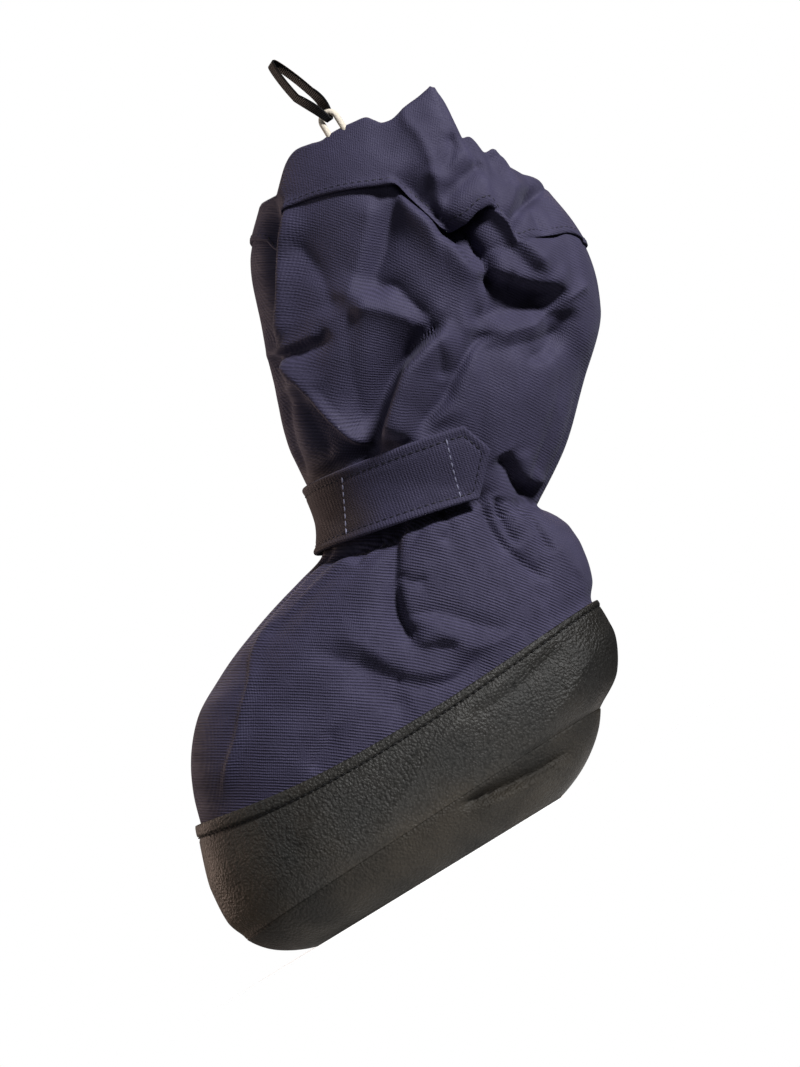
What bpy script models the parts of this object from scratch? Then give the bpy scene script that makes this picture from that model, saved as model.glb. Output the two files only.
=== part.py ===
"""Small child's winter overshoe: a soft fabric bootie with a slack, drawstring shaft.

Frame: +X to the toe, +Y to the outer side of a left foot, +Z up. The origin lies on the floor,
under the middle of the foot. Sizes are in millimetres and become metres in the meshes.
"""

import math
from collections import namedtuple

import bmesh
import bpy
import numpy as np

MM = 0.001
UP = np.array([0.0, 0.0, 1.0])
FORWARD = np.array([1.0, 0.0, 0.0])

# Driving sizes
FOOT_LENGTH = 150.0
BALL_WIDTH = 67.0
FRONT_HEIGHT = 207.7
GAP = 0.3

# Walls
UPPER_WALL = 1.8
CASING_STEP = 0.7
RAND_WALL = 1.2
RAND_FOLD = 0.5
RAND_FOLD_SHARE = 0.07
RAND_DIP = 0.40
RAND_SECTIONS = (0.0, 0.375, 0.75, 1.125, 1.5, 1.875, 2.25)
SOLE_WALL = 3.2
INSOLE_WALL = 2.4
STRAP_WALL = 1.8

# Sole: how far its rounded edge reaches in under the foot, and where its arc starts
SOLE_SIDE_ROUND = 12.0
SOLE_TOE_ROUND = 18.0
SOLE_HEEL_ROUND = 26.0
SOLE_BENDS_DEG = (90, 72, 54, 36, 18, 0)
INSOLE_BENDS_DEG = (90, 74, 58, 42)
INSOLE_GAP = 0.5

# Meshes
POINTS_AROUND = 56
STEP_RISE = 0.02

# Sections of the upper, from the sole seam up to the collar. Each is a closed ring through a front
# and a back point of the side view: run over FOOT_LENGTH, rise over FRONT_HEIGHT. Half width is over
# half of BALL_WIDTH. Bias makes the ring wider towards the toe, waist narrows it behind the ball.
Section = namedtuple("Section", "name front_run front_rise back_run back_rise half_width bias waist power")
SECTIONS = (
    Section("sole_seam", 0.484, 0.068, -0.398, 0.092, 0.850, 0.10, 0.06, 2.35),
    Section("low_rand", 0.500, 0.106, -0.468, 0.126, 0.925, 0.09, 0.05, 2.30),
    Section("mid_rand", 0.495, 0.156, -0.506, 0.182, 0.970, 0.08, 0.03, 2.25),
    Section("rand_top", 0.452, 0.252, -0.506, 0.230, 0.955, 0.06, 0.02, 2.20),
    Section("toe_side", 0.424, 0.304, -0.530, 0.261, 0.950, 0.05, 0.01, 2.15),
    Section("toe_high", 0.396, 0.346, -0.545, 0.297, 0.935, 0.03, 0.00, 2.10),
    Section("toe_top", 0.329, 0.405, -0.552, 0.326, 0.905, 0.02, 0.00, 2.05),
    Section("vamp_low", 0.257, 0.431, -0.551, 0.348, 0.880, 0.00, 0.00, 2.00),
    Section("vamp_mid", 0.129, 0.468, -0.543, 0.367, 0.855, 0.00, 0.00, 2.00),
    Section("vamp_high", 0.008, 0.493, -0.530, 0.384, 0.835, 0.00, 0.00, 2.00),
    Section("strap_low", -0.068, 0.512, -0.519, 0.395, 0.810, 0.00, 0.00, 2.00),
    Section("ankle", -0.106, 0.562, -0.516, 0.402, 0.800, 0.00, 0.00, 2.00),
    Section("strap_high", -0.116, 0.608, -0.526, 0.408, 0.820, 0.00, 0.00, 2.00),
    Section("shaft_low", -0.121, 0.668, -0.618, 0.451, 0.950, 0.00, 0.00, 2.00),
    Section("shaft_mid", -0.174, 0.789, -0.744, 0.533, 1.095, 0.00, 0.00, 2.00),
    Section("shaft_high", -0.223, 0.893, -0.852, 0.609, 1.120, 0.00, 0.00, 2.00),
    Section("casing_hem", -0.256, 0.950, -0.892, 0.708, 1.080, 0.00, 0.00, 2.00),
    Section("collar", -0.335, 1.010, -0.880, 0.803, 0.980, 0.00, 0.00, 2.00),
)
SECTION = {row.name: place for place, row in enumerate(SECTIONS)}
WAIST_AT = -0.2
WAIST_SPREAD = 0.45

# The collar slouches: its edge rises on the outer side and stands up in one corner there.
# Rise runs along the lean of the shaft, and the share of it that a section takes fades downwards.
SHAFT_LEAN_DEG = 33.0
CollarEdge = namedtuple("CollarEdge", "angle_deg rise")
COLLAR_EDGE = (
    CollarEdge(0, 2),
    CollarEdge(26, 3),
    CollarEdge(42, 15),
    CollarEdge(62, 20),
    CollarEdge(85, 21),
    CollarEdge(101, 31),
    CollarEdge(116, 16),
    CollarEdge(131, 10),
    CollarEdge(155, 4),
    CollarEdge(210, -2),
    CollarEdge(270, -5),
    CollarEdge(330, -1),
)
CollarShare = namedtuple("CollarShare", "section share")
COLLAR_SHARES = (
    CollarShare("shaft_low", 0.0),
    CollarShare("shaft_mid", 0.15),
    CollarShare("shaft_high", 0.6),
    CollarShare("casing_hem", 1.0),
    CollarShare("collar", 1.0),
)

# Gathers: evenly spaced troughs where elastic draws the cloth in.
Gather = namedtuple("Gather", "name section spread from_deg to_deg count depth")
GATHERS = (
    Gather("below_strap", 8.6, 1.3, -150, 210, 13, 1.5),
    Gather("above_strap", 13.4, 0.9, -150, 210, 12, 1.8),
    Gather("collar_back", 16.6, 1.6, 100, 268, 7, 2.8),
)
GATHER_FADE_DEG = 14.0

# Folds: single soft dents in the slack cloth, each a rounded trough along a section range.
Fold = namedtuple("Fold", "name section angle_deg spread spread_deg depth")
FOLDS = (
    Fold("shaft_front", 15.0, 30, 2.0, 11, 4.5),
    Fold("shaft_outer", 14.2, 62, 0.9, 16, 4.0),
    Fold("shaft_outer_back", 14.7, 118, 0.8, 15, 4.0),
    Fold("shaft_inner", 14.5, 268, 1.2, 22, 4.5),
    Fold("shaft_back", 14.2, 186, 1.0, 13, 3.0),
    Fold("vamp_outer", 7.4, 78, 1.2, 13, 3.0),
    Fold("vamp_inner", 7.4, 284, 1.2, 15, 2.5),
)

# Strap: a band round the front of the ankle, its pointed end on the outer side. It holds the cloth
# flat under it, over STRAP_HOLD sections.
STRAP_WIDTH = 23.0
STRAP_POINT = 6.0
STRAP_FRONT_X = -17.0
STRAP_FRONT_Z = 115.5
STRAP_SLOPE_DEG = 13.0
STRAP_ROOT_DEG = -86.0
STRAP_REACH = 54.5
STRAP_ROWS = 5
STRAP_STEPS = 34
STRAP_CLEARANCE = 0.5
STRAP_HOLD = 1.1
STRAP_SECTIONS = (8.0, 15.2)
STRAP_END_RANGE_DEG = (40, 165)

# Drawcord and pull loop at the collar
CORD_DIAMETER = 2.0
CORD_EXIT_DEG = 63.0
CORD_EYE_WIDTH = 3.4
CORD_EYE_HEIGHT = 7.4
CORD_BEND_STEPS = 7
LOOP_LENGTH = 25.0
LOOP_OPENING = 8.0
LOOP_WALL = 0.9
LOOP_WIDTH = 6.0
LOOP_EYE_WIDTH = 2.4
LOOP_TIP_NARROWING = 0.55
LOOP_TWIST_DEG = 52.0
LOOP_LEAN_DEG = 14.0
LOOP_FULL_AT = 0.45
LOOP_BLUNTNESS = 0.7
LOOP_STEPS = 14

# Colours: red, green, blue, roughness
NAVY_CLOTH = (0.030, 0.027, 0.062, 0.75)
BLACK_GRAIN = (0.014, 0.013, 0.012, 0.55)
BLACK_RIBBON = (0.006, 0.006, 0.008, 0.8)
DARK_FLEECE = (0.035, 0.034, 0.040, 0.95)
CREAM_ELASTIC = (0.62, 0.56, 0.47, 0.8)
SHARP_EDGE_DEG = 50.0


def smooth_curve(knots, values, at):
    """A smooth curve through the knots that never overshoots them (monotone cubic)."""
    knots = np.asarray(knots, float)
    values = np.asarray(values, float)
    step = np.diff(knots)
    rise = np.diff(values) / step
    slope = np.concatenate([rise[:1], np.zeros(len(knots) - 2), rise[-1:]])
    same_way = rise[:-1] * rise[1:] > 0
    before = (2 * step[1:] + step[:-1])[same_way]
    after = (step[1:] + 2 * step[:-1])[same_way]
    slope[1:-1][same_way] = (before + after) / (before / rise[:-1][same_way] + after / rise[1:][same_way])
    at = np.asarray(at, float)
    i = np.clip(np.searchsorted(knots, at, side="right") - 1, 0, len(step) - 1)
    s = (at - knots[i]) / step[i]
    return (
        values[i] * (1 + 2 * s) * (1 - s) ** 2
        + values[i + 1] * s * s * (3 - 2 * s)
        + step[i] * (slope[i] * s * (1 - s) ** 2 - slope[i + 1] * s * s * (1 - s))
    )


def column(name, at):
    """One column of SECTIONS, read at fractional sections."""
    return smooth_curve(range(len(SECTIONS)), [getattr(row, name) for row in SECTIONS], at)


def bell(distance, spread):
    """1 at the middle, falling softly to 0 about two spreads away."""
    return np.exp(-((distance / spread) ** 2))


def turn_between(angle, middle):
    """The signed turn from middle to angle, in radians, between minus half and plus half a turn."""
    return (angle - middle + math.pi) % (2 * math.pi) - math.pi


def collar_rise(at, angle):
    """How far the slouch lifts a section at an angle."""
    degrees = [row.angle_deg for row in COLLAR_EDGE]
    rises = [row.rise for row in COLLAR_EDGE]
    wrapped = [d - 360 for d in degrees] + degrees + [d + 360 for d in degrees]
    around = smooth_curve(wrapped, rises * 3, np.degrees(angle) % 360)
    knots = [SECTION[row.section] for row in COLLAR_SHARES]
    share = smooth_curve(knots, [row.share for row in COLLAR_SHARES], at)
    return around * np.where(np.asarray(at) < knots[0], 0.0, share)


def bare_point(at, angle):
    """A point of the smooth outer surface: at counts sections, angle runs from the toe to the outer side."""
    power = 2 / column("power", at)
    along = np.sign(np.cos(angle)) * np.abs(np.cos(angle)) ** power
    across = np.sign(np.sin(angle)) * np.abs(np.sin(angle)) ** power
    front_x = column("front_run", at) * FOOT_LENGTH
    back_x = column("back_run", at) * FOOT_LENGTH
    front_z = column("front_rise", at) * FRONT_HEIGHT
    back_z = column("back_rise", at) * FRONT_HEIGHT
    half = column("half_width", at) * BALL_WIDTH / 2
    waist = column("waist", at) * bell(along - WAIST_AT, WAIST_SPREAD)
    half = half * (1 + column("bias", at) * along - waist)
    rise = collar_rise(at, angle)
    lean = math.radians(SHAFT_LEAN_DEG)
    x = (front_x + back_x) / 2 + (front_x - back_x) / 2 * along - rise * math.sin(lean)
    z = (front_z + back_z) / 2 + (front_z - back_z) / 2 * along + rise * math.cos(lean)
    return np.stack(np.broadcast_arrays(x, half * across, z), axis=-1)


def outward(at, angle):
    """Unit normal of the smooth surface."""
    small = 1e-3
    last = len(SECTIONS) - 1
    up = bare_point(np.minimum(at + small, last), angle) - bare_point(np.maximum(at - small, 0), angle)
    round_ = bare_point(at, angle + small) - bare_point(at, angle - small)
    normal = np.cross(round_, up)
    return normal / np.linalg.norm(normal, axis=-1, keepdims=True)


def slack(at, angle):
    """How far gathers and folds draw the cloth in."""
    depth = 0.0
    for gather in GATHERS:
        reach = math.radians(gather.to_deg - gather.from_deg) / 2
        turn = turn_between(angle, math.radians(gather.from_deg) + reach)
        fade = np.clip((reach - np.abs(turn)) / math.radians(GATHER_FADE_DEG), 0, 1)
        inside = fade if reach < math.pi else 1.0
        wave = 0.5 - 0.5 * np.cos(gather.count * math.pi * (turn / reach + 1))
        depth = depth + gather.depth * wave * inside * bell(at - gather.section, gather.spread)
    for fold in FOLDS:
        turn = turn_between(angle, math.radians(fold.angle_deg))
        along = bell(at - fold.section, fold.spread)
        depth = depth + fold.depth * along * bell(turn, math.radians(fold.spread_deg))
    return depth * (1 - bell(at - SECTION["ankle"], STRAP_HOLD))


def cloth_point(at, angle, offset=0.0):
    """A point of the outer surface with its gathers and folds, moved out by offset."""
    move = np.asarray(offset - slack(at, angle))
    return bare_point(at, angle) + outward(at, angle) * move[..., None]


def material(name, colour):
    made = bpy.data.materials.new(name)
    made.use_nodes = True
    shader = made.node_tree.nodes["Principled BSDF"]
    shader.inputs["Base Color"].default_value = (*colour[:3], 1.0)
    shader.inputs["Roughness"].default_value = colour[3]
    shader.inputs["Metallic"].default_value = 0.0
    return made


def loft(name, rows, look, closed=True, cap_first=False):
    """An open surface through rows of points, as a new object. cap_first fills the first row."""
    mesh = bmesh.new()
    verts = [[mesh.verts.new(point * MM) for point in row] for row in rows]
    for low, high in zip(verts, verts[1:]):
        count = len(low)
        for i in range(count if closed else count - 1):
            j = (i + 1) % count
            mesh.faces.new((low[i], low[j], high[j], high[i]))
    if cap_first:
        mesh.faces.new(list(reversed(verts[0])))
    return finish_object(name, mesh, look)


def finish_object(name, mesh, look):
    data = bpy.data.meshes.new(name)
    mesh.to_mesh(data)
    mesh.free()
    data.shade_smooth()
    data.set_sharp_from_angle(angle=math.radians(SHARP_EDGE_DEG))
    data.materials.append(look)
    made = bpy.data.objects.new(name, data)
    PARTS.objects.link(made)
    return made


def thicken(thing, wall, side=-1):
    """A wall on the open surface: side -1 grows inwards, +1 outwards."""
    solid = thing.modifiers.new("wall", "SOLIDIFY")
    solid.thickness = wall * MM
    solid.offset = side
    solid.use_even_offset = True
    return thing


def ring_angles():
    return np.linspace(0, 2 * math.pi, POINTS_AROUND, endpoint=False)


def build_upper(look):
    """Cloth, padding and lining of the foot as one wall, from the sole seam up to the ankle's elastic."""
    angles = ring_angles()
    foot_top = SECTION["vamp_high"]
    ankle = SECTION["ankle"]
    levels = [*np.linspace(0, foot_top, 13), foot_top + 0.75, foot_top + 1.5, ankle - STEP_RISE]
    rows = [cloth_point(np.full_like(angles, at), angles) for at in levels]
    return thicken(loft("upper", rows, look), UPPER_WALL)


def build_shaft(look):
    """The slack leg part above the ankle's elastic, with the drawcord casing as a step in its wall."""
    angles = ring_angles()
    hem = SECTION["casing_hem"]
    ankle = SECTION["ankle"]
    below = [ankle + STEP_RISE, *np.arange(ankle + 0.65, hem - 0.1, 0.65), hem - STEP_RISE]
    rows = [cloth_point(np.full_like(angles, at), angles) for at in below]
    casing = (hem + STEP_RISE, hem + 0.5, hem + 1)
    rows += [cloth_point(np.full_like(angles, at), angles, CASING_STEP) for at in casing]
    return thicken(loft("shaft", rows, look), UPPER_WALL)


def build_rand(look):
    """Grained band round the foot, from the sole seam to its folded and stitched top edge."""
    angles = ring_angles()
    top = SECTION["rand_top"] - RAND_DIP * np.sin(angles) ** 2
    reach = GAP + RAND_WALL
    fold = top * (1 - RAND_FOLD_SHARE)
    plain = [np.full_like(angles, at) for at in RAND_SECTIONS] + [fold - STEP_RISE]
    rows = [cloth_point(at, angles, reach) for at in plain]
    rows += [cloth_point(at, angles, reach + RAND_FOLD) for at in (fold + STEP_RISE, top)]
    return thicken(loft("rand", rows, look), RAND_WALL)


def dish_rows(inset, bends_deg, lowest):
    """Rows of a soft sole, from its flat middle out and up towards the seam, inset from the outsole."""
    angles = ring_angles()
    rim = cloth_point(np.zeros_like(angles), angles, GAP + RAND_WALL)
    ahead = np.roll(rim, -1, axis=0) - np.roll(rim, 1, axis=0)
    inward = np.stack([-ahead[:, 1], ahead[:, 0], np.zeros(len(rim))], axis=1)
    edge = rim + inward / np.linalg.norm(inward, axis=1, keepdims=True) * inset
    back, front = rim[:, 0].min(), rim[:, 0].max()
    side = rim[:, 1].max()
    shrink = (front - back - SOLE_TOE_ROUND - SOLE_HEEL_ROUND) / (front - back)
    flat_x = back + SOLE_HEEL_ROUND + (rim[:, 0] - back) * shrink
    flat_y = rim[:, 1] * (side - SOLE_SIDE_ROUND) / side
    rows = []
    for bend in np.radians(bends_deg):
        under = 1 - math.cos(bend)
        row = edge.copy()
        row[:, 0] += (flat_x - edge[:, 0]) * under
        row[:, 1] += (flat_y - edge[:, 1]) * under
        row[:, 2] = lowest + (rim[:, 2] - GAP - lowest) * (1 - math.sin(bend))
        rows.append(row)
    return rows


def build_outsole(look):
    """Soft sole, flat on the floor and turned up round its edge to the seam."""
    rows = dish_rows(0.0, SOLE_BENDS_DEG, 0.0)
    return thicken(loft("outsole", rows, look, cap_first=True), SOLE_WALL)


def build_insole(look):
    """Fleece pad that lines the sole and turns up with it."""
    above = SOLE_WALL + INSOLE_GAP
    rows = dish_rows(above, INSOLE_BENDS_DEG, above)
    return thicken(loft("insole", rows, look, cap_first=True), INSOLE_WALL)


def strap_axes(point):
    """Distances of points along the strap, from the front of the ankle, and across it, in the side view."""
    slope = math.radians(STRAP_SLOPE_DEG)
    x = point[..., 0] - STRAP_FRONT_X
    z = point[..., 2] - STRAP_FRONT_Z
    return -x * math.cos(slope) - z * math.sin(slope), z * math.cos(slope) - x * math.sin(slope)


def halve(low, high, is_low):
    """The value between low and high where is_low stops being true."""
    for _ in range(30):
        middle = (low + high) / 2
        below = is_low(middle)
        low = np.where(below, middle, low)
        high = np.where(below, high, middle)
    return (low + high) / 2


def strap_section(angle, height):
    """The section where the surface lies height above the middle line of the strap."""
    low, high = (np.full_like(angle, section) for section in STRAP_SECTIONS)
    return halve(low, high, lambda at: strap_axes(bare_point(at, angle))[1] < height)


def strap_end(height, reach):
    """The angle where the strap, height above its middle line, has its free end."""

    def short_of(angle):
        return strap_axes(bare_point(strap_section(angle, height), angle))[0] < reach

    low, high = np.radians(STRAP_END_RANGE_DEG)
    return halve(np.array([low]), np.array([high]), short_of)[0]


def build_strap(look):
    """Doubled band that lies on the ankle, sewn on at its root and pointed at its free end."""
    rows = []
    for share in np.linspace(-0.5, 0.5, STRAP_ROWS):
        height = share * STRAP_WIDTH
        end = strap_end(height, STRAP_REACH - STRAP_POINT * 2 * abs(share))
        angles = np.linspace(math.radians(STRAP_ROOT_DEG), end, STRAP_STEPS)
        sections = strap_section(angles, height)
        rows.append(bare_point(sections, angles) + outward(sections, angles) * STRAP_CLEARANCE)
    return thicken(loft("strap", rows, look, closed=False), STRAP_WALL, side=1)


def collar_seat():
    """Where the drawcord leaves the casing: a point on its edge, the level way along it, and its slope."""
    angle = np.array([math.radians(CORD_EXIT_DEG)])
    top = np.array([float(SECTION["collar"])])
    small_turn = 0.05
    middle_of_wall = CASING_STEP - UPPER_WALL / 2
    seat, before, after = (
        cloth_point(top, angle + turn, middle_of_wall)[0] for turn in (0.0, -small_turn, small_turn)
    )
    along = after - before
    level = np.array([along[0], along[1], 0.0])
    length = np.linalg.norm(level)
    return seat, level / length, along[2] / length


def build_drawcord(look):
    """Elastic cord that stands out of the casing as a small eye."""
    seat, level, slope = collar_seat()
    half = (CORD_EYE_WIDTH + CORD_DIAMETER) / 2
    shoulder = CORD_EYE_HEIGHT - half
    feet = [seat + level * half * side for side in (-1, 1)]
    for foot, side in zip(feet, (-1, 1)):
        foot += UP * (slope * half * side + GAP + abs(slope) * CORD_DIAMETER / 2)
    bend = [
        seat - level * half * math.cos(turn) + UP * (shoulder + half * math.sin(turn))
        for turn in np.linspace(0, math.pi, CORD_BEND_STEPS)
    ]
    points = [feet[0], *bend, feet[1]]
    curve = bpy.data.curves.new("drawcord", "CURVE")
    curve.dimensions = "3D"
    curve.bevel_depth = CORD_DIAMETER / 2 * MM
    curve.bevel_resolution = 2
    curve.use_fill_caps = True
    spline = curve.splines.new("POLY")
    spline.points.add(len(points) - 1)
    for spot, point in zip(spline.points, points):
        spot.co = (*(point * MM), 1.0)
    curve.materials.append(look)
    made = bpy.data.objects.new("drawcord", curve)
    PARTS.objects.link(made)
    return made


def loop_path(share):
    """Middle line of the pull loop in its own plane: sideways and height, share from 0 to 1 right round."""
    turn = 2 * math.pi * share
    height = LOOP_LENGTH * (0.5 - 0.5 * math.cos(turn))
    narrowing = 1 - LOOP_TIP_NARROWING * (height / LOOP_LENGTH) ** 2
    bulge = math.copysign(abs(math.sin(turn)) ** LOOP_BLUNTNESS, math.sin(turn))
    return LOOP_OPENING / 2 * bulge * narrowing, height


def build_pull_loop(look):
    """Ribbon loop through the drawcord's eye, folded narrow to pass it and twisted above it."""
    seat, level, _ = collar_seat()
    across = np.cross(UP, level)
    eye_top = seat + UP * (CORD_EYE_HEIGHT - CORD_DIAMETER / 2 - LOOP_WALL - 2 * GAP)
    rows = []
    for share in np.linspace(0, 1, 2 * LOOP_STEPS, endpoint=False):
        aside, height = loop_path(share)
        widen = min(1.0, height / (LOOP_FULL_AT * LOOP_LENGTH))
        half = (LOOP_EYE_WIDTH + (LOOP_WIDTH - LOOP_EYE_WIDTH) * widen) / 2
        twist = math.radians(LOOP_TWIST_DEG) * widen
        facing = across * math.cos(twist) + level * math.sin(twist)
        width_way = np.cross(UP, facing)
        lean = math.tan(math.radians(LOOP_LEAN_DEG)) * widen
        middle = eye_top + facing * aside + UP * height + FORWARD * height * lean
        rows.append([middle - width_way * half, middle + width_way * half])
    edges = [np.array(edge) for edge in zip(*rows)]
    return thicken(loft("pull_loop", edges, look), LOOP_WALL, side=0)


def clear_scene():
    for thing in list(bpy.data.objects):
        bpy.data.objects.remove(thing)


clear_scene()
PARTS = bpy.data.collections.new("winter_bootie")
bpy.context.scene.collection.children.link(PARTS)

build_outsole(material("sole_grain", BLACK_GRAIN))
build_insole(material("dark_fleece", DARK_FLEECE))
build_upper(material("navy_cloth", NAVY_CLOTH))
build_shaft(material("shaft_cloth", NAVY_CLOTH))
build_rand(material("black_grain", BLACK_GRAIN))
build_strap(material("strap_cloth", NAVY_CLOTH))
build_drawcord(material("cream_elastic", CREAM_ELASTIC))
build_pull_loop(material("black_ribbon", BLACK_RIBBON))
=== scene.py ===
"""Looks of the winter bootie: ribbed navy cloth with its folds, grained black rand and sole, strap and loop.

The surfaces are worked out from the same sections as the solids, in millimetres. Creases are placed
in the side view of the shoe: x runs to the toe, z up, both in millimetres.
"""

import math
from collections import namedtuple

import bpy
import numpy as np
from mathutils import Matrix, Vector


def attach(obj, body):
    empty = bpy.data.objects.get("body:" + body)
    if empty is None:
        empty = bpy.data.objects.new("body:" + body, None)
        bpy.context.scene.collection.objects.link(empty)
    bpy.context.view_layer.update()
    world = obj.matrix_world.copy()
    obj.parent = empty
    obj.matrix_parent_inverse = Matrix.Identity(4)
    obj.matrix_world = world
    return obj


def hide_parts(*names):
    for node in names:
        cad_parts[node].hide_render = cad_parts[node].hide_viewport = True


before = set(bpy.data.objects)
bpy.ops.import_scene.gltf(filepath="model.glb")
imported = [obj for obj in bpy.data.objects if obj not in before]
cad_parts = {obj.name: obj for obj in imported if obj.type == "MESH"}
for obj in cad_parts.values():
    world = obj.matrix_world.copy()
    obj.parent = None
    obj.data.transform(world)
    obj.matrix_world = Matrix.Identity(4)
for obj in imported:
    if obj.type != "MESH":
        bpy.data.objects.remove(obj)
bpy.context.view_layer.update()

MM = 0.001
UP = np.array([0.0, 0.0, 1.0])
FORWARD = np.array([1.0, 0.0, 0.0])

# Sizes shared with the solids
FOOT_LENGTH = 150.0
BALL_WIDTH = 67.0
FRONT_HEIGHT = 207.7
GAP = 0.3
UPPER_WALL = 1.8
CASING_STEP = 0.7
RAND_WALL = 1.2
RAND_FOLD = 0.5
RAND_FOLD_SHARE = 0.07
RAND_DIP = 0.40
INSOLE_GAP = 0.5
SOLE_WALL = 3.2
STRAP_WALL = 1.8
SOLE_SIDE_ROUND = 12.0
SOLE_TOE_ROUND = 18.0
SOLE_HEEL_ROUND = 26.0
INSOLE_WALL = 2.4

# Sections of the smooth surface, the same as in the solids
Section = namedtuple("Section", "name front_run front_rise back_run back_rise half_width bias waist power")
SECTIONS = (
    Section("sole_seam", 0.484, 0.068, -0.398, 0.092, 0.850, 0.10, 0.06, 2.35),
    Section("low_rand", 0.500, 0.106, -0.468, 0.126, 0.925, 0.09, 0.05, 2.30),
    Section("mid_rand", 0.495, 0.156, -0.506, 0.182, 0.970, 0.08, 0.03, 2.25),
    Section("rand_top", 0.452, 0.252, -0.506, 0.230, 0.955, 0.06, 0.02, 2.20),
    Section("toe_side", 0.424, 0.304, -0.530, 0.261, 0.950, 0.05, 0.01, 2.15),
    Section("toe_high", 0.396, 0.346, -0.545, 0.297, 0.935, 0.03, 0.00, 2.10),
    Section("toe_top", 0.329, 0.405, -0.552, 0.326, 0.905, 0.02, 0.00, 2.05),
    Section("vamp_low", 0.257, 0.431, -0.551, 0.348, 0.880, 0.00, 0.00, 2.00),
    Section("vamp_mid", 0.129, 0.468, -0.543, 0.367, 0.855, 0.00, 0.00, 2.00),
    Section("vamp_high", 0.008, 0.493, -0.530, 0.384, 0.835, 0.00, 0.00, 2.00),
    Section("strap_low", -0.068, 0.512, -0.519, 0.395, 0.810, 0.00, 0.00, 2.00),
    Section("ankle", -0.106, 0.562, -0.516, 0.402, 0.800, 0.00, 0.00, 2.00),
    Section("strap_high", -0.116, 0.608, -0.526, 0.408, 0.820, 0.00, 0.00, 2.00),
    Section("shaft_low", -0.121, 0.668, -0.618, 0.451, 0.950, 0.00, 0.00, 2.00),
    Section("shaft_mid", -0.174, 0.789, -0.744, 0.533, 1.095, 0.00, 0.00, 2.00),
    Section("shaft_high", -0.223, 0.893, -0.852, 0.609, 1.120, 0.00, 0.00, 2.00),
    Section("casing_hem", -0.256, 0.950, -0.892, 0.708, 1.080, 0.00, 0.00, 2.00),
    Section("collar", -0.335, 1.010, -0.880, 0.803, 0.980, 0.00, 0.00, 2.00),
)
SECTION = {row.name: number for number, row in enumerate(SECTIONS)}
WAIST_AT = -0.2
WAIST_SPREAD = 0.45

# The slouch of the collar, crisper than the solid's: degrees from the toe to the outer side, and the rise
# along the lean of the shaft. Each section takes a share of it.
SHAFT_LEAN_DEG = 33.0
COLLAR_EDGE = (
    (0, 2), (30, 3), (38, 13), (46, 16), (62, 20), (85, 21), (101, 31), (116, 16),
    (131, 10), (155, 4), (210, -2), (270, -5), (330, -1),
)
COLLAR_SHARES = {"shaft_low": 0.0, "shaft_mid": 0.15, "shaft_high": 0.6, "casing_hem": 1.0, "collar": 1.0}

# Small rises and dips along the collar's edge alone, by degrees, which make its peak and its puckers crisp.
COLLAR_TRIM = (
    (0, 0.0), (30, 0.0), (42, 1.4), (50, 0.0), (56, -1.2), (61, 0.0), (70, 2.0),
    (75, 3.0), (79, 1.6), (82, 0.5), (90, 1.5), (97, -0.3), (100, 0.3), (101, 1.0),
    (102, 0.1), (105, -1.3), (110, -3.4), (114, -2.2), (118, 0.5), (124, -1.4),
    (130, 1.6), (138, -1.4), (146, -0.8), (165, 0.0), (330, 0.0),
)

# The hem of the casing leaves its section where the slack collar is twisted: degrees and sections.
HEM_SHIFTS = (
    (0, 0.42), (24, 0.30), (32, -0.02), (40, 0.06), (48, 0.0), (61, -0.1),
    (82, -0.1), (86, -0.3), (91, -0.6), (95, -0.82), (98, -0.9), (102, -0.86),
    (108, -0.6), (114, -0.36), (117, -0.42), (121, -0.63), (127, -0.5), (139, -0.3),
    (152, -0.1), (200, 0.0), (330, 0.2),
)

# The lip of the hem: sections above the hem's line, and height. Its first rows are cloth below the casing.
HemLip = namedtuple("HemLip", "on_casing sections height")
HEM_LIP = (
    HemLip(False, -0.03, -0.3),
    HemLip(False, 0.0, -0.8),
    HemLip(True, -0.04, 0.5),
    HemLip(True, -0.03, 1.0),
    HemLip(True, 0.03, 1.2),
    HemLip(True, 0.09, 0.9),
    HemLip(True, 0.15, 0.85),
)

# Gathers: troughs where elastic draws the cloth in, spread over the sections below and above it.
Gather = namedtuple("Gather", "name section below above from_deg to_deg count depth")
GATHERS = (
    Gather("below_strap", 9.6, 1.6, 0.9, -170, 190, 17, 1.8),
    Gather("above_strap", 12.9, 0.5, 1.1, -170, 190, 19, 1.8),
    Gather("collar_back", 16.6, 1.2, 1.0, 128, 268, 7, 2.2),
    Gather("collar_inner", 16.6, 1.2, 1.0, 268, 372, 5, 1.0),
)
GATHER_FADE_DEG = 14.0
GATHER_UNEVENNESS = 0.8
GATHER_VARIETY = 0.35
GATHER_ROUNDING = 0.01

# Grooves that the ankle's elastic and the strap draw round the ankle, below and above the strap. They start
# beside its front, in radians, and fade out a distance along the strap.
Cinch = namedtuple("Cinch", "across width depth fade_along")
CINCHES = (Cinch(-11.2, 2.5, 7.0, 47.0), Cinch(12.5, 3.0, 2.4, 47.0))
CINCH_BESIDE = (0.2, 0.9)
CINCH_FADE = 16.0

# Creases in the side view, on the outer side where nothing else is said: name, width, depth or height, and
# the points of the path. A step lifts the cloth on the left of the path, in its own direction as seen with
# the toe to the right, and sinks it on the other side. The flare is the width at the path's end over that at
# its start.
OUTER = 1
INNER = -1
Crease = namedtuple("Crease", "name width valley step path flare side")


def crease(name, width, valley, step, *path, flare=1.0, side=OUTER):
    """A trough, or a ridge where the valley is below 0, with a step."""
    return Crease(name, width, valley, step, path, flare, side)


def trough(name, width, depth, *path, **more):
    return crease(name, width, depth, 0.0, *path, **more)


def ridge(name, width, height, *path, **more):
    return crease(name, width, -height, 0.0, *path, **more)


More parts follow.
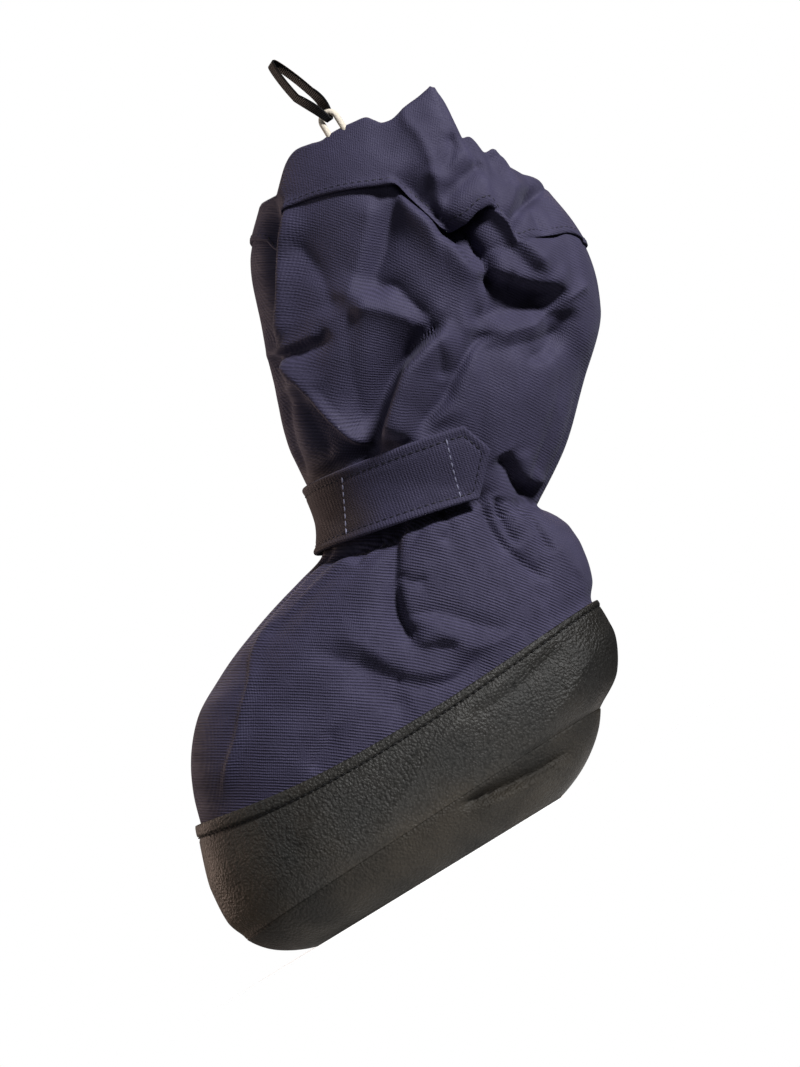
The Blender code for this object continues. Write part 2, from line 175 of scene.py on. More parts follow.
CREASES = (
    crease("front_edge", 3.2, 1.0, -4.2,
           (-60, 209), (-57, 205), (-51, 198), (-46, 192), (-40, 182), (-35, 174), (-31, 166)),
    ridge("patch_ridge", 5.0, 2.9, (-57, 165), (-61, 163), (-67, 158), (-72, 152), (-78, 144), flare=0.8),
    trough("patch_valley", 4.0, 3.1, (-64, 168), (-73, 164), (-75, 157), (-77, 152), (-79, 148)),
    crease("sharp_ridge", 5.6, -2.0, -7.3,
           (-84, 146), (-78, 144), (-70, 142), (-63, 140), (-56, 135), (-50, 130), (-41, 122), flare=1.3),
    trough("sharp_facet", 2.6, 2.0, (-79, 148), (-77, 145), (-75, 139), (-71, 129), flare=1.3),
    crease("deep_fold", 4.4, 0.0, 5.5,
           (-90, 195), (-91, 190), (-92, 183), (-94, 176), (-95, 171), (-97, 163), (-98, 157), (-101, 150),
           flare=0.9),
    crease("dent_top", 6.0, 0.0, -4.4,
           (-96, 153), (-101, 151), (-105, 147), (-110, 142), (-117, 137), (-121, 134), flare=0.9),
    trough("dent", 9.0, 5.7, (-86, 143), (-92, 141), (-100, 139), (-108, 136), (-120, 132), flare=0.8),
    ridge("dent_low", 4.0, 2.3, (-83, 143), (-87, 140), (-95, 134), (-103, 131), (-112, 129)),
    ridge("dent_rim", 2.6, 2.1, (-128, 135), (-119, 133), (-113, 131), (-107, 130)),
    crease("swing", 4.6, 3.6, -2.3,
           (-97, 134), (-94, 134), (-86, 134), (-80, 131), (-75, 128), (-69, 124), (-62, 122), (-52, 120)),
    trough("swing_face", 7.0, 2.9, (-82, 134), (-88, 131), (-99, 127), (-109, 124), (-118, 123)),
    crease("swing_back", 4.0, 2.1, -1.6, (-120, 130), (-118, 127), (-112, 122), (-106, 120), (-96, 121)),
    crease("wedge", 2.2, 1.8, -2.0,
           (-24, 171), (-28, 168), (-31, 166), (-35, 165), (-39, 164), (-44, 163), (-49, 165)),
    crease("front_ridge", 3.4, -1.8, -4.4,
           (-31, 170), (-31, 167), (-31, 159), (-32, 151), (-33, 142), (-35, 133), (-39, 122)),
    trough("recess", 6.0, 3.1, (-27, 158), (-27, 143), (-27, 128)),
    trough("right_dark", 4.0, 1.8, (-35, 153), (-36, 149), (-37, 142), (-38, 135), (-41, 128)),
    trough("tip_dent", 3.2, 3.4, (-75, 102), (-75, 98), (-75, 95), (-75, 91), (-76, 88), (-79, 85)),
    crease("tip_step", 3.0, 0.0, -1.4, (-79, 101), (-78, 97), (-77, 93), (-78, 90), (-81, 88), (-85, 88)),
    trough("pucker_back", 3.2, 3.4, (-128, 171), (-127, 167), (-125, 161), (-123, 152), flare=1.2),
    crease("strap_crease", 3.8, 3.2, -1.6,
           (-38, 107), (-34, 98), (-31, 93), (-28, 88), (-25, 82), (-23, 77), (-22, 70), (-21, 62)),
    crease("foot_fold", 3.4, 0.9, -1.2,
           (-27, 86), (-23, 77), (-22, 73), (-22, 68), (-22, 64), (-24, 62), (-29, 60), (-34, 56)),
    crease("foot_lip", 3.0, 0.4, -0.7, (-22, 73), (-25, 68), (-28, 64), (-31, 60), (-34, 55)),
    trough("strap_notch", 1.9, 1.6, (-28, 87), (-29, 84), (-30, 82), (-32, 81), (-35, 80)),
    ridge("foot_roll", 3.6, 1.7, (1, 80), (-3, 77), (-8, 70), (-12, 62), (-19, 55), (-26, 51), (-31, 49)),
    trough("under_roll", 4.5, 2.2, (-20, 74), (-25, 73), (-33, 69), (-39, 62), (-45, 56), (-50, 52)),
    ridge("roll_low", 3.4, 1.5, (-22, 68), (-25, 66), (-31, 60), (-36, 54), (-44, 52), (-52, 53)),
    trough("foot_valley", 6.0, 3.0,
           (10, 85), (6, 79), (2, 73), (-4, 67), (-8, 61), (-13, 55), (-21, 50), (-27, 49), (-32, 50),
           (-38, 52), (-44, 52)),
    trough("valley_pool", 6.5, 2.2, (0, 71), (-2, 66), (-4, 57), (-6, 52), (-12, 50)),
    crease("toe_seam", 1.7, -1.2, -0.6,
           (10, 97), (19, 93), (25, 89), (30, 82), (36, 76), (42, 69), (49, 63), (58, 54)),
    trough("toe_dent", 3.0, 1.2, (16, 57), (17, 53), (21, 51), (28, 47)),
    crease("vamp_fold", 2.4, 0.4, 0.8,
           (-24, 103), (-20, 101), (-13, 98), (-6, 97), (1, 96), (8, 94), (14, 93), (22, 90)),
    trough("heel_mid", 2.1, 2.9, (-67, 92), (-66, 88), (-66, 85), (-65, 81), (-65, 74)),
    ridge("heel_ridge", 2.4, 2.1, (-65, 94), (-64, 89), (-63, 81), (-63, 75), (-64, 69)),
    trough("heel_groove", 2.2, 2.4, (-72, 89), (-72, 85), (-73, 80), (-73, 74), (-73, 66)),
    ridge("heel_crest", 2.8, 1.7, (-72, 88), (-73, 82), (-74, 74), (-75, 66), (-76, 59), (-78, 53)),
    trough("heel_near", 2.6, 3.2,
           (-63, 95), (-62, 90), (-61, 84), (-61, 78), (-63, 71), (-65, 66), (-68, 59)),
    trough("lump_left", 2.2, 1.8, (-29, 106), (-25, 101), (-21, 99), (-16, 96)),
    trough("lump_right", 2.4, 1.6, (-53, 99), (-50, 93), (-49, 90), (-44, 87)),
    trough("low_hollow", 3.4, 5.6,
           (-77, 145), (-70, 145), (-65, 144), (-59, 142), (-53, 139), (-47, 134), (-42, 128), (-36, 119),
           (-31, 110), flare=2.0),
    crease("inner_sweep", 8.0, 3.9, 2.1, (-96, 196), (-84, 172), (-72, 150), (-58, 130), side=INNER),
    crease("inner_front", 6.0, 3.1, -1.6, (-52, 198), (-44, 176), (-36, 152), (-34, 132), side=INNER),
    crease("inner_back", 7.0, 3.6, 1.6, (-124, 160), (-110, 144), (-96, 130), (-80, 116), side=INNER),
    crease("inner_cross", 6.0, 2.9, -2.3, (-46, 160), (-62, 152), (-84, 150), (-104, 156), side=INNER),
    crease("inner_vamp", 5.0, 2.4, 1.4, (-30, 96), (-24, 80), (-16, 66), (-20, 54), side=INNER),
    trough("inner_foot", 8.0, 2.4, (16, 84), (4, 70), (-12, 58), (-34, 50), side=INNER),
    crease("inner_toe", 6.0, -0.5, -1.4, (-8, 104), (14, 96), (30, 84), (42, 70), (52, 58), side=INNER),
    crease("inner_heel", 4.0, 1.8, 0.8, (-58, 94), (-62, 78), (-70, 62), side=INNER),
)
BELOW_HEM = (
    trough("left_hollow", 6.5, 2.4, (-53, 197), (-54, 190), (-55, 180), (-54, 172), (-52, 165), flare=1.2),
    ridge("mid_ridge", 5.0, 2.3, (-83, 193), (-77, 185), (-69, 177), (-61, 170), (-55, 163)),
    trough("mid_valley", 6.5, 6.3, (-94, 194), (-82, 181), (-75, 175), (-68, 170), (-62, 165), flare=1.2),
    trough("pocket", 4.2, 7.2,
           (-107, 180), (-105, 172), (-104, 167), (-103, 162), (-103, 157), (-102, 153), (-100, 146),
           flare=0.5),
    trough("pocket_top", 4.5, 5.2, (-92, 172), (-98, 170), (-103, 170), (-108, 170), (-114, 170)),
    crease("tongue", 4.4, -2.9, -2.9,
           (-113, 178), (-113, 170), (-113, 161), (-113, 154), (-114, 148), (-116, 141), flare=1.1),
    trough("under_hem", 2.0, 1.6,
           (-102, 158), (-108, 157), (-113, 155), (-118, 155), (-124, 153), (-130, 151)),
)
ON_CASING = (
    ridge("peak_roll", 2.0, 1.8,
          (-105, 214), (-105, 209), (-104, 206), (-105, 200), (-104, 192), (-101, 182), (-96, 170),
          flare=1.2),
    trough("peak_seam", 1.2, 0.7, (-116, 210), (-115, 206), (-114, 198), (-113, 190), (-112, 184)),
    trough("flap_hollow", 2.0, 2.2, (-114, 196), (-112, 192), (-110, 189), (-107, 187), (-104, 184)),
    trough("peak_hollow", 2.4, 3.2,
           (-99, 178), (-102, 179), (-106, 180), (-110, 181), (-114, 182), (-118, 183)),
    ridge("flap_edge", 2.2, 1.7,
          (-102, 190), (-102, 187), (-104, 185), (-107, 186), (-111, 187), (-115, 189)),
    crease("pucker_mid", 3.0, 1.4, 0.6, (-122, 187), (-121, 184), (-118, 178), (-111, 170), flare=1.2),
    crease("pucker_hem", 2.2, 3.4, -1.6,
           (-133, 169), (-129, 167), (-124, 165), (-119, 163), (-114, 161), (-105, 156), flare=1.2),
    ridge("pucker_ridge", 2.0, 1.4, (-123, 174), (-121, 170), (-116, 165), (-110, 160)),
    ridge("hem_right", 2.6, 0.7,
          (-102, 159), (-108, 158), (-112, 158), (-117, 158), (-121, 157), (-125, 156), (-130, 154)),
    ridge("hem_arch", 6.0, 2.2, (-98, 171), (-104, 174), (-110, 174), (-116, 170)),
)
RAND_CREASES = (
    ridge("streak", 3.8, 1.5,
          (24, 20), (16, 23), (6, 27), (-4, 32), (-15, 36), (-25, 39), (-37, 40), (-48, 42)),
    ridge("streak_front", 4.2, 1.1, (44, 28), (37, 32), (26, 38), (16, 41), (2, 43)),
    trough("tone_and_painted_light", 4.6, 1.2, (-18, 38), (-26, 37), (-39, 36), (-53, 39), (-62, 42)),
    ridge("streak_back", 4.2, 1.3, (-26, 18), (-34, 20), (-43, 23), (-51, 26), (-62, 32), (-70, 36)),
    ridge("streak_toe", 6.0, 0.8, (62, 24), (44, 24), (28, 21), (8, 18)),
    ridge("streak_inner", 7.0, 0.9, (40, 18), (6, 26), (-34, 33), side=INNER),
)
SOLE_CREASES = (
    trough("pinch", 2.2, 4.0, (-3, 16), (-9, 15), (-17, 13), (-26, 12), (-38, 11), (-48, 12)),
    ridge("pinch_ridge", 2.8, 2.3, (-8, 12), (-13, 10), (-21, 9), (-32, 8), (-46, 9)),
    trough("pinch_inner", 3.0, 1.6, (4, 14), (-20, 11), (-40, 12), side=INNER),
)
CREASE_POINTS = 40
CREASE_END_SHARE = 0.2
CREASE_ROUNDING = 0.14
CREASE_FALL = 0.8
CREASE_REACH = 3.2
CREASE_FACING = (0.02, 0.3)
STEP_SOFTNESS = 1.2
STEP_WIDTH = 1.6

# Rand: the sections over which its ripples calm down at the seam and the top, how far up the rows of its face
# go, and the rows of its folded top edge, as sections from the fold's lower line or from the top, and height
RAND_CALM = 0.3
RAND_TOP_CALM = (0.1, 0.7)
RAND_FACE_SHARE = 0.975
RAND_GROOVE = 0.35
RAND_FOLD_ROUND = RAND_FOLD * 0.7
RandRow = namedtuple("RandRow", "from_top sections height")
RAND_EDGE = (
    RandRow(False, -0.02, -RAND_GROOVE),
    RandRow(False, 0.0, -RAND_GROOVE),
    RandRow(False, 0.01, RAND_FOLD_ROUND),
    RandRow(False, 0.05, RAND_FOLD),
    RandRow(True, -0.06, RAND_FOLD),
    RandRow(True, -0.01, RAND_FOLD_ROUND),
    RandRow(True, 0.0, 0.0),
    RandRow(True, -0.01, -RAND_WALL),
)

# Sole: the first and last row of its flat middle as shares of it, how straight its edge turns up, the heights
# of the rows that tuck in above the seam, how far they do so, and where its side swells
SOLE_MIDDLE = (0.02, 0.96)
SOLE_BEVEL = 0.5
SOLE_TUCKS = (0.5, 1.2, 2.5)
SOLE_TUCK_LENGTH = 70.0
SOLE_TUCK_WIDTH = 30.0
SOLE_SWELL_FROM = (2, 8)
SOLE_SEAM_CALM = 2.5
SOLE_SIDEWAYS = np.array([0.3, 1.0, 0.0])
INSOLE_EDGE_DEG = 42
INSOLE_TOP_SHARES = np.array([0.97, 0.93, 1.0])

# Uneven waves: their size, the seed of their draws and their height
Ripple = namedtuple("Ripple", "size seed height")
CLOTH_RIPPLE = Ripple(26.0, 4, 0.5)
RAND_RIPPLE = Ripple(34.0, 9, 0.35)
SOLE_RIPPLE = Ripple(30.0, 12, 0.3)
RIPPLE_WAVES = 9
RIPPLE_SPREAD = (0.7, 1.6)
RAND_RIPPLE_STRETCH = 1.5

# Strap. Its point reaches 2 mm further than the solid's and has two unlike slants. The cloth lies flat under
# it and a little way beside it.
STRAP_WIDTH = 23.0
STRAP_POINT_TOP = 5.7
STRAP_POINT_LOW = 8.8
STRAP_TIP_ABOVE = 2.4
STRAP_FRONT_X = -17.0
STRAP_FRONT_Z = 115.5
STRAP_SLOPE_DEG = 13.0
STRAP_ROOT_DEG = -86.0
STRAP_REACH = 56.5
STRAP_CLEARANCE = 0.5
STRAP_SECTIONS = (8.0, 15.2)
STRAP_END_RANGE_DEG = (2, 165)
STRAP_BESIDE = 1.5
STRAP_BEYOND = 2.0
STRAP_BEFORE_DEG = 4.0
STRAP_SEAM_IN = 2.8
STRAP_GROOVE = 0.28
STRAP_GROOVE_WIDTH = 0.7
STRAP_LIFT = 0.5
# Pale stitch lines across the strap: distances along it at its upper and its lower edge
StrapLine = namedtuple("StrapLine", "name top low")
STRAP_LINES = (StrapLine("fold_line", 11.5, 6.3), StrapLine("patch_line", 44.7, 42.4))

# Drawcord, sized as in the solids, with its feet sunk into the casing
CORD_DIAMETER = 2.0
CORD_EXIT_DEG = 63.0
CORD_EYE_WIDTH = 3.4
CORD_EYE_HEIGHT = 7.4
CORD_SINK = 0.5
CORD_BEND_STEPS = 24
CORD_LEG_STEPS = 8
CORD_SIDES = 16

# Pull loop, 2 mm narrower than the solid's, with thicker edges
LOOP_LENGTH = 25.0
LOOP_OPENING = 6.0
LOOP_WALL = 0.9
LOOP_WIDTH = 6.0
LOOP_EYE_WIDTH = 2.4
LOOP_TIP_NARROWING = 0.55
LOOP_TWIST_DEG = 52.0
LOOP_LEAN_DEG = 14.0
LOOP_FULL_AT = 0.45
LOOP_BLUNTNESS = 0.7
LOOP_MIDDLE = 0.75
LOOP_RIM = 0.25
LOOP_RIM_FROM = (0.6, 0.85)
LOOP_EDGE_POWER = 8
LOOP_STEPS = 181
LOOP_ROWS = 13
LOOP_UV_STEP = 0.05

# Meshes: rows and columns, and the sections where cloth and lining start and end
FOOT_ROWS = 150
SHAFT_ROWS_LOW = 150
SHAFT_ROWS_CASING = 30
CLOTH_COLUMNS = 340
CLOTH_START = 1.9
RIM_ROWS = 5
FACING_ROWS = 12
FACING_UV = (0.1, 2.0)
LINING_ROWS = 90
LINING_COLUMNS = 132
LINING_START = 0.25
LINING_BELOW = 0.4
LINING_SINK = 2.6
RAND_ROWS = 46
RAND_COLUMNS = 300
SOLE_ROWS = 24
SOLE_COLUMNS = 240
STRAP_STEPS = 150
STRAP_HALF_ROWS = 26
LEVEL_SAMPLES = 2000
HALVINGS = 30

# Stitches: how deep they lie in the strap, how far the pale lines pass its seams and stand higher, and how
# they lie on the hem and in the rand's groove
STITCH_SINK = 0.2
STITCH_START_DEG = 3.0
PALE_OVERRUN = 0.6
PALE_RISE = 0.05
HEM_STITCH = 0.07
HEM_STITCH_RISE = 0.1
RAND_STITCH_BELOW = 0.01
SEAM_STEPS = 900
EDGE_STEPS = 200
CROSS_STEPS = 60
STITCH_PITCH = 2.3
Stitch = namedtuple("Stitch", "length radius")
DARK_STITCH = Stitch(1.7, 0.24)
PALE_STITCH = Stitch(2.15, 0.34)
STITCH_RINGS = 6
STITCH_SIDES = 6
STITCH_BLUNTNESS = 1.02

# Ribs of the cloth run square to the shaft's lean, and tilt behind a place along them. In metres: the x where
# the foot's ribs end, the length of their fading, and the height along the lean where the casing's turn faint
RIB_PITCH = 0.93
RIB_TILT_SOFTNESS = 14.0
RIB_FOLLOW = 0.25
RIB_SIDE_SHARE = 0.6
FOOT_RIBS_END = -0.080
RIBS_FADE = 0.009
CASING_RIBS_FROM = (0.196, 0.208)
CASING_RIBS = 0.3
RIB_SWAY = 0.06
THREAD_PITCH = RIB_PITCH * 0.55
RIBBON_PITCH = 0.6
MM_PER_CM = 10.0
RibLay = namedtuple("RibLay", "tilt_from tilt")
FOOT_RIBS = RibLay(12.0, 0.40)
SHAFT_RIBS = RibLay(95.0, 0.36)

# Cloth: what its threads and its grain add to the ribs' height, and what sets its colour: the cloth's own
# mottling, and ribs and grain that paint shade into the rib grooves and highlights onto the rib tops
THREAD_RELIEF = 0.12
GRAIN_RELIEF = 1.1
RIB_PAINTED_SHADE = 0.76
MOTTLE_SHADE = 0.12
GRAIN_TONE_AND_PAINTED_LIGHT = 0.24

# Camera in millimetres, as the photo sees the shoe, but lowered until it stops just above the floor
CAMERA_AT = (-25.0, 1200.0, 6.0)
CAMERA_TARGET = (-35.0, 0.0, 98.9)
CAMERA_ROLL_DEG = -31.43
FOCAL_PIXELS = 3751.0
IMAGE_LONG_SIDE = 1067
SENSOR = 36.0

# Light, in metres and watts: lamps round the shoe, warm on its far side, and the strength of the room's white
WHITE = (1.0, 1.0, 1.0)
WARM = (1.0, 0.74, 0.62)
Lamp = namedtuple("Lamp", "name at size power colour")
LAMPS = (
    Lamp("key", (-1.03, 0.84, 0.62), 0.20, 36.0, WHITE),
    Lamp("fill", (0.9, 0.9, 0.5), 0.8, 2.6, WHITE),
    Lamp("rim", (-0.4, -1.0, 0.9), 0.8, 8.0, WARM),
    Lamp("bounce", (0.9, -0.5, 0.5), 0.8, 7.0, WARM),
)
LAMP_TARGET = (-0.03, 0.0, 0.1)
ROOM_LIGHT = 0.055

# Floor: its colour and glow, and where it fades out, far to near, in metres
FLOOR_COLOUR = (0.86, 0.86, 0.86)
FLOOR_GLOW = 0.5
FLOOR_FADE = (0.105, 0.05)

# Colours
NAVY = (0.032, 0.0285, 0.058)
LINT = (0.30, 0.29, 0.36)
BLACK = (0.0165, 0.0162, 0.0152)
# The sole's leatherette is the rand's, painted darker as shade
SOLE_BLACK_PAINTED_SHADE = (0.0075, 0.007, 0.006)
DUST = (0.047, 0.034, 0.019)
# Painted shade, brownish, on the cloth at the front of the ankle
PAINTED_SHADE_BROWN = (0.030, 0.019, 0.013)
# Where the dust of the rand and the sole starts and is thickest, and where their heel darkens, in metres
DUST_LOW = (0.030, 0.004)
DUST_TOE = (0.015, 0.07)
DARK_HEEL = (-0.03, -0.075)
# Where the painted brown shade at the front of the ankle starts and is thickest, in metres: towards the
# front, upwards and downwards
PAINTED_SHADE_FRONT = (-0.036, -0.022)
PAINTED_SHADE_LOW = (0.101, 0.108)
PAINTED_SHADE_HIGH = (0.140, 0.122)
PAINTED_SHADE_STRENGTH = 0.75
RIBBON = (0.004, 0.004, 0.005)
FLEECE = (0.035, 0.034, 0.040)
CREAM = (0.62, 0.56, 0.47)
DARK_THREAD = (0.010, 0.009, 0.018)
PALE_THREAD = (0.15, 0.15, 0.22)


# Curves


def smooth_curve(knots, values, at):
    """A smooth curve through the knots that never overshoots them (monotone cubic)."""
    knots = np.asarray(knots, float)
    values = np.asarray(values, float)
    step = np.diff(knots)
    rise = np.diff(values) / step
    slope = np.concatenate([rise[:1], np.zeros(len(knots) - 2), rise[-1:]])
    same_way = rise[:-1] * rise[1:] > 0
    before = (2 * step[1:] + step[:-1])[same_way]
    after = (step[1:] + 2 * step[:-1])[same_way]
    slope[1:-1][same_way] = (before + after) / (before / rise[:-1][same_way] + after / rise[1:][same_way])
    return cubic(knots, values, slope, np.asarray(at, float))


def cubic(knots, values, slope, at):
    """A cubic through the knots with the given slopes."""
    i = np.clip(np.searchsorted(knots, at, side="right") - 1, 0, len(knots) - 2)
    step = knots[i + 1] - knots[i]
    s = (at - knots[i]) / step
    return (
        values[i] * (1 + 2 * s) * (1 - s) ** 2
        + values[i + 1] * s * s * (3 - 2 * s)
        + step * (slope[i] * s * (1 - s) ** 2 - slope[i + 1] * s * s * (1 - s))
    )


def round_curve(rows, angle):
    """A smooth closed curve round the shoe through rows of degrees and values, read at angles in radians."""
    degrees, values = zip(*rows)
    knots = [d - 360 for d in degrees] + list(degrees) + [d + 360 for d in degrees]
    return smooth_curve(knots, values * 3, np.degrees(angle) % 360)


def column(name, at):
    """One column of SECTIONS, read at fractional sections."""
    return smooth_curve(range(len(SECTIONS)), [getattr(row, name) for row in SECTIONS], at)


def bell(distance, spread):
    """1 at the middle, falling softly to 0 about two spreads away."""
    return np.exp(-((distance / spread) ** 2))


def fold(distance, width):
    """1 at the middle, with flanks that run out far: the shape of creased cloth."""
    rounding = CREASE_ROUNDING * width
    return np.exp(-(np.hypot(distance, rounding) - rounding) / (CREASE_FALL * width))


def ease(value, low, high):
    """0 below low, 1 above high and a smooth rise between."""
    s = np.clip((value - low) / (high - low), 0, 1)
    return s * s * (3 - 2 * s)


def turn_between(angle, middle):
    """The signed turn from middle to angle, in radians, between minus half and plus half a turn."""
    return (angle - middle + math.pi) % (2 * math.pi) - math.pi


def unit(vectors):
    return vectors / np.maximum(np.linalg.norm(vectors, axis=-1, keepdims=True), 1e-9)


def lengths_along(points):
    return np.concatenate([[0], np.cumsum(np.linalg.norm(np.diff(points, axis=0), axis=1))])


def spaced(points, at):
    """Points at the given lengths along a line of points."""
    lengths = lengths_along(points)
    return np.stack([np.interp(at, lengths, points[:, k]) for k in range(points.shape[1])], axis=1)


def smooth_path(corners, count):
    """A smooth path through given points, evenly spaced along its length."""
    corners = np.array(corners, float)
    chord = lengths_along(corners)
    fine = np.linspace(0, chord[-1], count * 4)
    path = [cubic(chord, line, np.gradient(line, chord), fine) for line in corners.T]
    path = np.stack(path, axis=1)
    return spaced(path, np.linspace(0, lengths_along(path)[-1], count))


def waves(u, v, ripple):
    """Smooth uneven waves of about a ripple's size and height."""
    rng = np.random.default_rng(ripple.seed)
    total = 0.0
    for _ in range(RIPPLE_WAVES):
        direction = rng.uniform(0, 2 * math.pi)
        pitch = ripple.size * rng.uniform(*RIPPLE_SPREAD)
        shift = rng.uniform(0, 2 * math.pi)
        along = u * math.cos(direction) + v * math.sin(direction)
        total = total + np.sin(along * 2 * math.pi / pitch + shift)
    return total / (RIPPLE_WAVES / 2) * ripple.height


# Surfaces


def collar_rise(at, angle):
    """How far the slouch lifts a section at an angle."""
    knots = [SECTION[name] for name in COLLAR_SHARES]
    share = smooth_curve(knots, list(COLLAR_SHARES.values()), at)
    trim = round_curve(COLLAR_TRIM, angle) * ease(at, SECTION["casing_hem"], SECTION["collar"])
    return round_curve(COLLAR_EDGE, angle) * np.where(np.asarray(at) < knots[0], 0.0, share) + trim


def bare_point(at, angle):
    """A point of the smooth outer surface: at counts sections, angle runs from the toe to the outer side."""
    power = 2 / column("power", at)
    along = np.sign(np.cos(angle)) * np.abs(np.cos(angle)) ** power
    across = np.sign(np.sin(angle)) * np.abs(np.sin(angle)) ** power
    front_x = column("front_run", at) * FOOT_LENGTH
    back_x = column("back_run", at) * FOOT_LENGTH
    front_z = column("front_rise", at) * FRONT_HEIGHT
    back_z = column("back_rise", at) * FRONT_HEIGHT
    half = column("half_width", at) * BALL_WIDTH / 2
    waist = column("waist", at) * bell(along - WAIST_AT, WAIST_SPREAD)
    half = half * (1 + column("bias", at) * along - waist)
    rise = collar_rise(at, angle)
    lean = math.radians(SHAFT_LEAN_DEG)
    x = (front_x + back_x) / 2 + (front_x - back_x) / 2 * along - rise * math.sin(lean)
    z = (front_z + back_z) / 2 + (front_z - back_z) / 2 * along + rise * math.cos(lean)
    return np.stack(np.broadcast_arrays(x, half * across, z), axis=-1)


def outward(at, angle):
    """Unit normal of the smooth surface."""
    small = 1e-3
    last = len(SECTIONS) - 1
    up = bare_point(np.minimum(at + small, last), angle) - bare_point(np.maximum(at - small, 0), angle)
    round_ = bare_point(at, angle + small) - bare_point(at, angle - small)
    return unit(np.cross(round_, up))


def gathers(at, angle):
    """How far the elastic draws the cloth in, in uneven pleats."""
    depth = 0.0
    for number, gather in enumerate(GATHERS):
        reach = math.radians(gather.to_deg - gather.from_deg) / 2
        turn = turn_between(angle, math.radians(gather.from_deg) + reach)
        fade = np.clip((reach - np.abs(turn)) / math.radians(GATHER_FADE_DEG), 0, 1)
        inside = fade if reach < math.pi else 1.0
        sway = GATHER_UNEVENNESS * (np.sin(turn * 5 + number) + np.sin(turn * 3 + 2 * number))
        swing = np.sin((gather.count * math.pi * (turn / reach + 1) + sway) / 2)
        wave = 1 - np.sqrt(swing**2 + GATHER_ROUNDING)
        uneven = 1 - GATHER_VARIETY + GATHER_VARIETY * np.sin(turn * 7 + 1.7 * number)
        away = at - gather.section
        spread = np.where(away < 0, gather.below, gather.above)
        depth = depth + gather.depth * uneven * wave * inside * bell(away, spread)
    return depth


def near_path(x, z, path):
    """Signed distance of points from a path in the side view, and how far along it they lie, 0 to 1."""
    best = np.full(x.shape, 1e9)
    signed = np.zeros(x.shape)
    share = np.zeros(x.shape)
    for k, (start, end) in enumerate(zip(path, path[1:])):
        run = end - start
        s = np.clip(((x - start[0]) * run[0] + (z - start[1]) * run[1]) / (run @ run), 0, 1)
        away_x = x - start[0] - s * run[0]
        away_z = z - start[1] - s * run[1]
        distance = np.hypot(away_x, away_z)
        nearer = distance < best
        best = np.where(nearer, distance, best)
        signed = np.where(nearer, np.sign(run[0] * away_z - run[1] * away_x) * distance, signed)
        share = np.where(nearer, (k + s) / (len(path) - 1), share)
    return signed, share


def creases(table, points, normals):
    """Height of the listed creases at points of a smooth surface."""
    height = np.zeros(points.shape[:-1])
    x, z = points[..., 0], points[..., 2]
    for row in table:
        path = smooth_path(row.path, CREASE_POINTS)
        reach = row.width * max(1.0, row.flare) * CREASE_REACH
        low, high = path.min(0) - reach, path.max(0) + reach
        near = (x > low[0]) & (x < high[0]) & (z > low[1]) & (z < high[1])
        near &= points[..., 1] * row.side > 0
        if not near.any():
            continue
        away, share = near_path(x[near], z[near], path)
        ends = ease(share, 0, CREASE_END_SHARE) * ease(1 - share, 0, CREASE_END_SHARE)
        width = row.width * (1 + (row.flare - 1) * share)
        shape = -row.valley * fold(away, width)
        shape += row.step * np.tanh(away / STEP_SOFTNESS) * bell(away, width * STEP_WIDTH)
        facing = ease(normals[..., 1][near] * row.side, *CREASE_FACING)
        height[near] += shape * ends * facing
    return height


def hem_section(angle):
    """The section where the casing's hem runs, at an angle."""
    return SECTION["casing_hem"] + round_curve(HEM_SHIFTS, angle)


def cloth_height(at, angle, base, normals, on_casing):
    """Height of the cloth's folds over the smooth surface, kept down under the strap."""
    along, across = strap_axes(base)
    height = creases(CREASES, base, normals) - gathers(at, angle)
    on, below = (creases(table, base, normals) for table in (ON_CASING, BELOW_HEM))
    height = height + np.where(on_casing, on, below)
    height = height + waves(base[..., 0] + base[..., 1], base[..., 2], CLOTH_RIPPLE)
    beside = ease(np.abs(turn_between(angle, 0.0)), *CINCH_BESIDE)
    for cinch in CINCHES:
        fade = ease(cinch.fade_along + CINCH_FADE / 2 - along, 0, CINCH_FADE)
        height = height - cinch.depth * bell(across - cinch.across, cinch.width) * beside * fade
    covered = ease(STRAP_WIDTH / 2 + STRAP_BESIDE - np.abs(across), 0, STRAP_BESIDE)
    covered = covered * ease(STRAP_REACH + STRAP_BEYOND - along, 0, STRAP_BEYOND)
    covered = covered * (turn_between(angle, 0.0) > math.radians(STRAP_ROOT_DEG - STRAP_BEFORE_DEG))
    return np.minimum(height, height * (1 - covered))


def cloth_point(at, angle, offset=0.0, on_casing=False):
    """Points of the folded cloth, the normals before folding and the height of the folds."""
    base = bare_point(at, angle)
    normals = outward(at, angle)
    height = cloth_height(at, angle, base, normals, on_casing) + offset
    return base + normals * height[..., None], normals, height


def rand_top(angle):
    return SECTION["rand_top"] - RAND_DIP * np.sin(angle) ** 2


def rand_point(at, angle, offset=0.0):
    """Points of the rand's outer face."""
    base = bare_point(at, angle)
    normals = outward(at, angle)
    ripple = creases(RAND_CREASES, base, normals)
    ripple = ripple + waves(base[..., 0] + base[..., 1], base[..., 2] * RAND_RIPPLE_STRETCH, RAND_RIPPLE)
    ripple = ripple * ease(rand_top(angle) - at, *RAND_TOP_CALM) * ease(at, 0, RAND_CALM)
    return base + normals * (GAP + RAND_WALL + ripple + offset)[..., None]


def strap_axes(point):
    """Distances of points along the strap, from the front of the ankle, and across it, in the side view."""
    slope = math.radians(STRAP_SLOPE_DEG)
    x = point[..., 0] - STRAP_FRONT_X
    z = point[..., 2] - STRAP_FRONT_Z
    return -x * math.cos(slope) - z * math.sin(slope), z * math.cos(slope) - x * math.sin(slope)


def halve(low, high, is_low):
    """The value between low and high where is_low stops being true."""
    for _ in range(HALVINGS):
        middle = (low + high) / 2
        below = is_low(middle)
        low = np.where(below, middle, low)
        high = np.where(below, high, middle)
    return (low + high) / 2


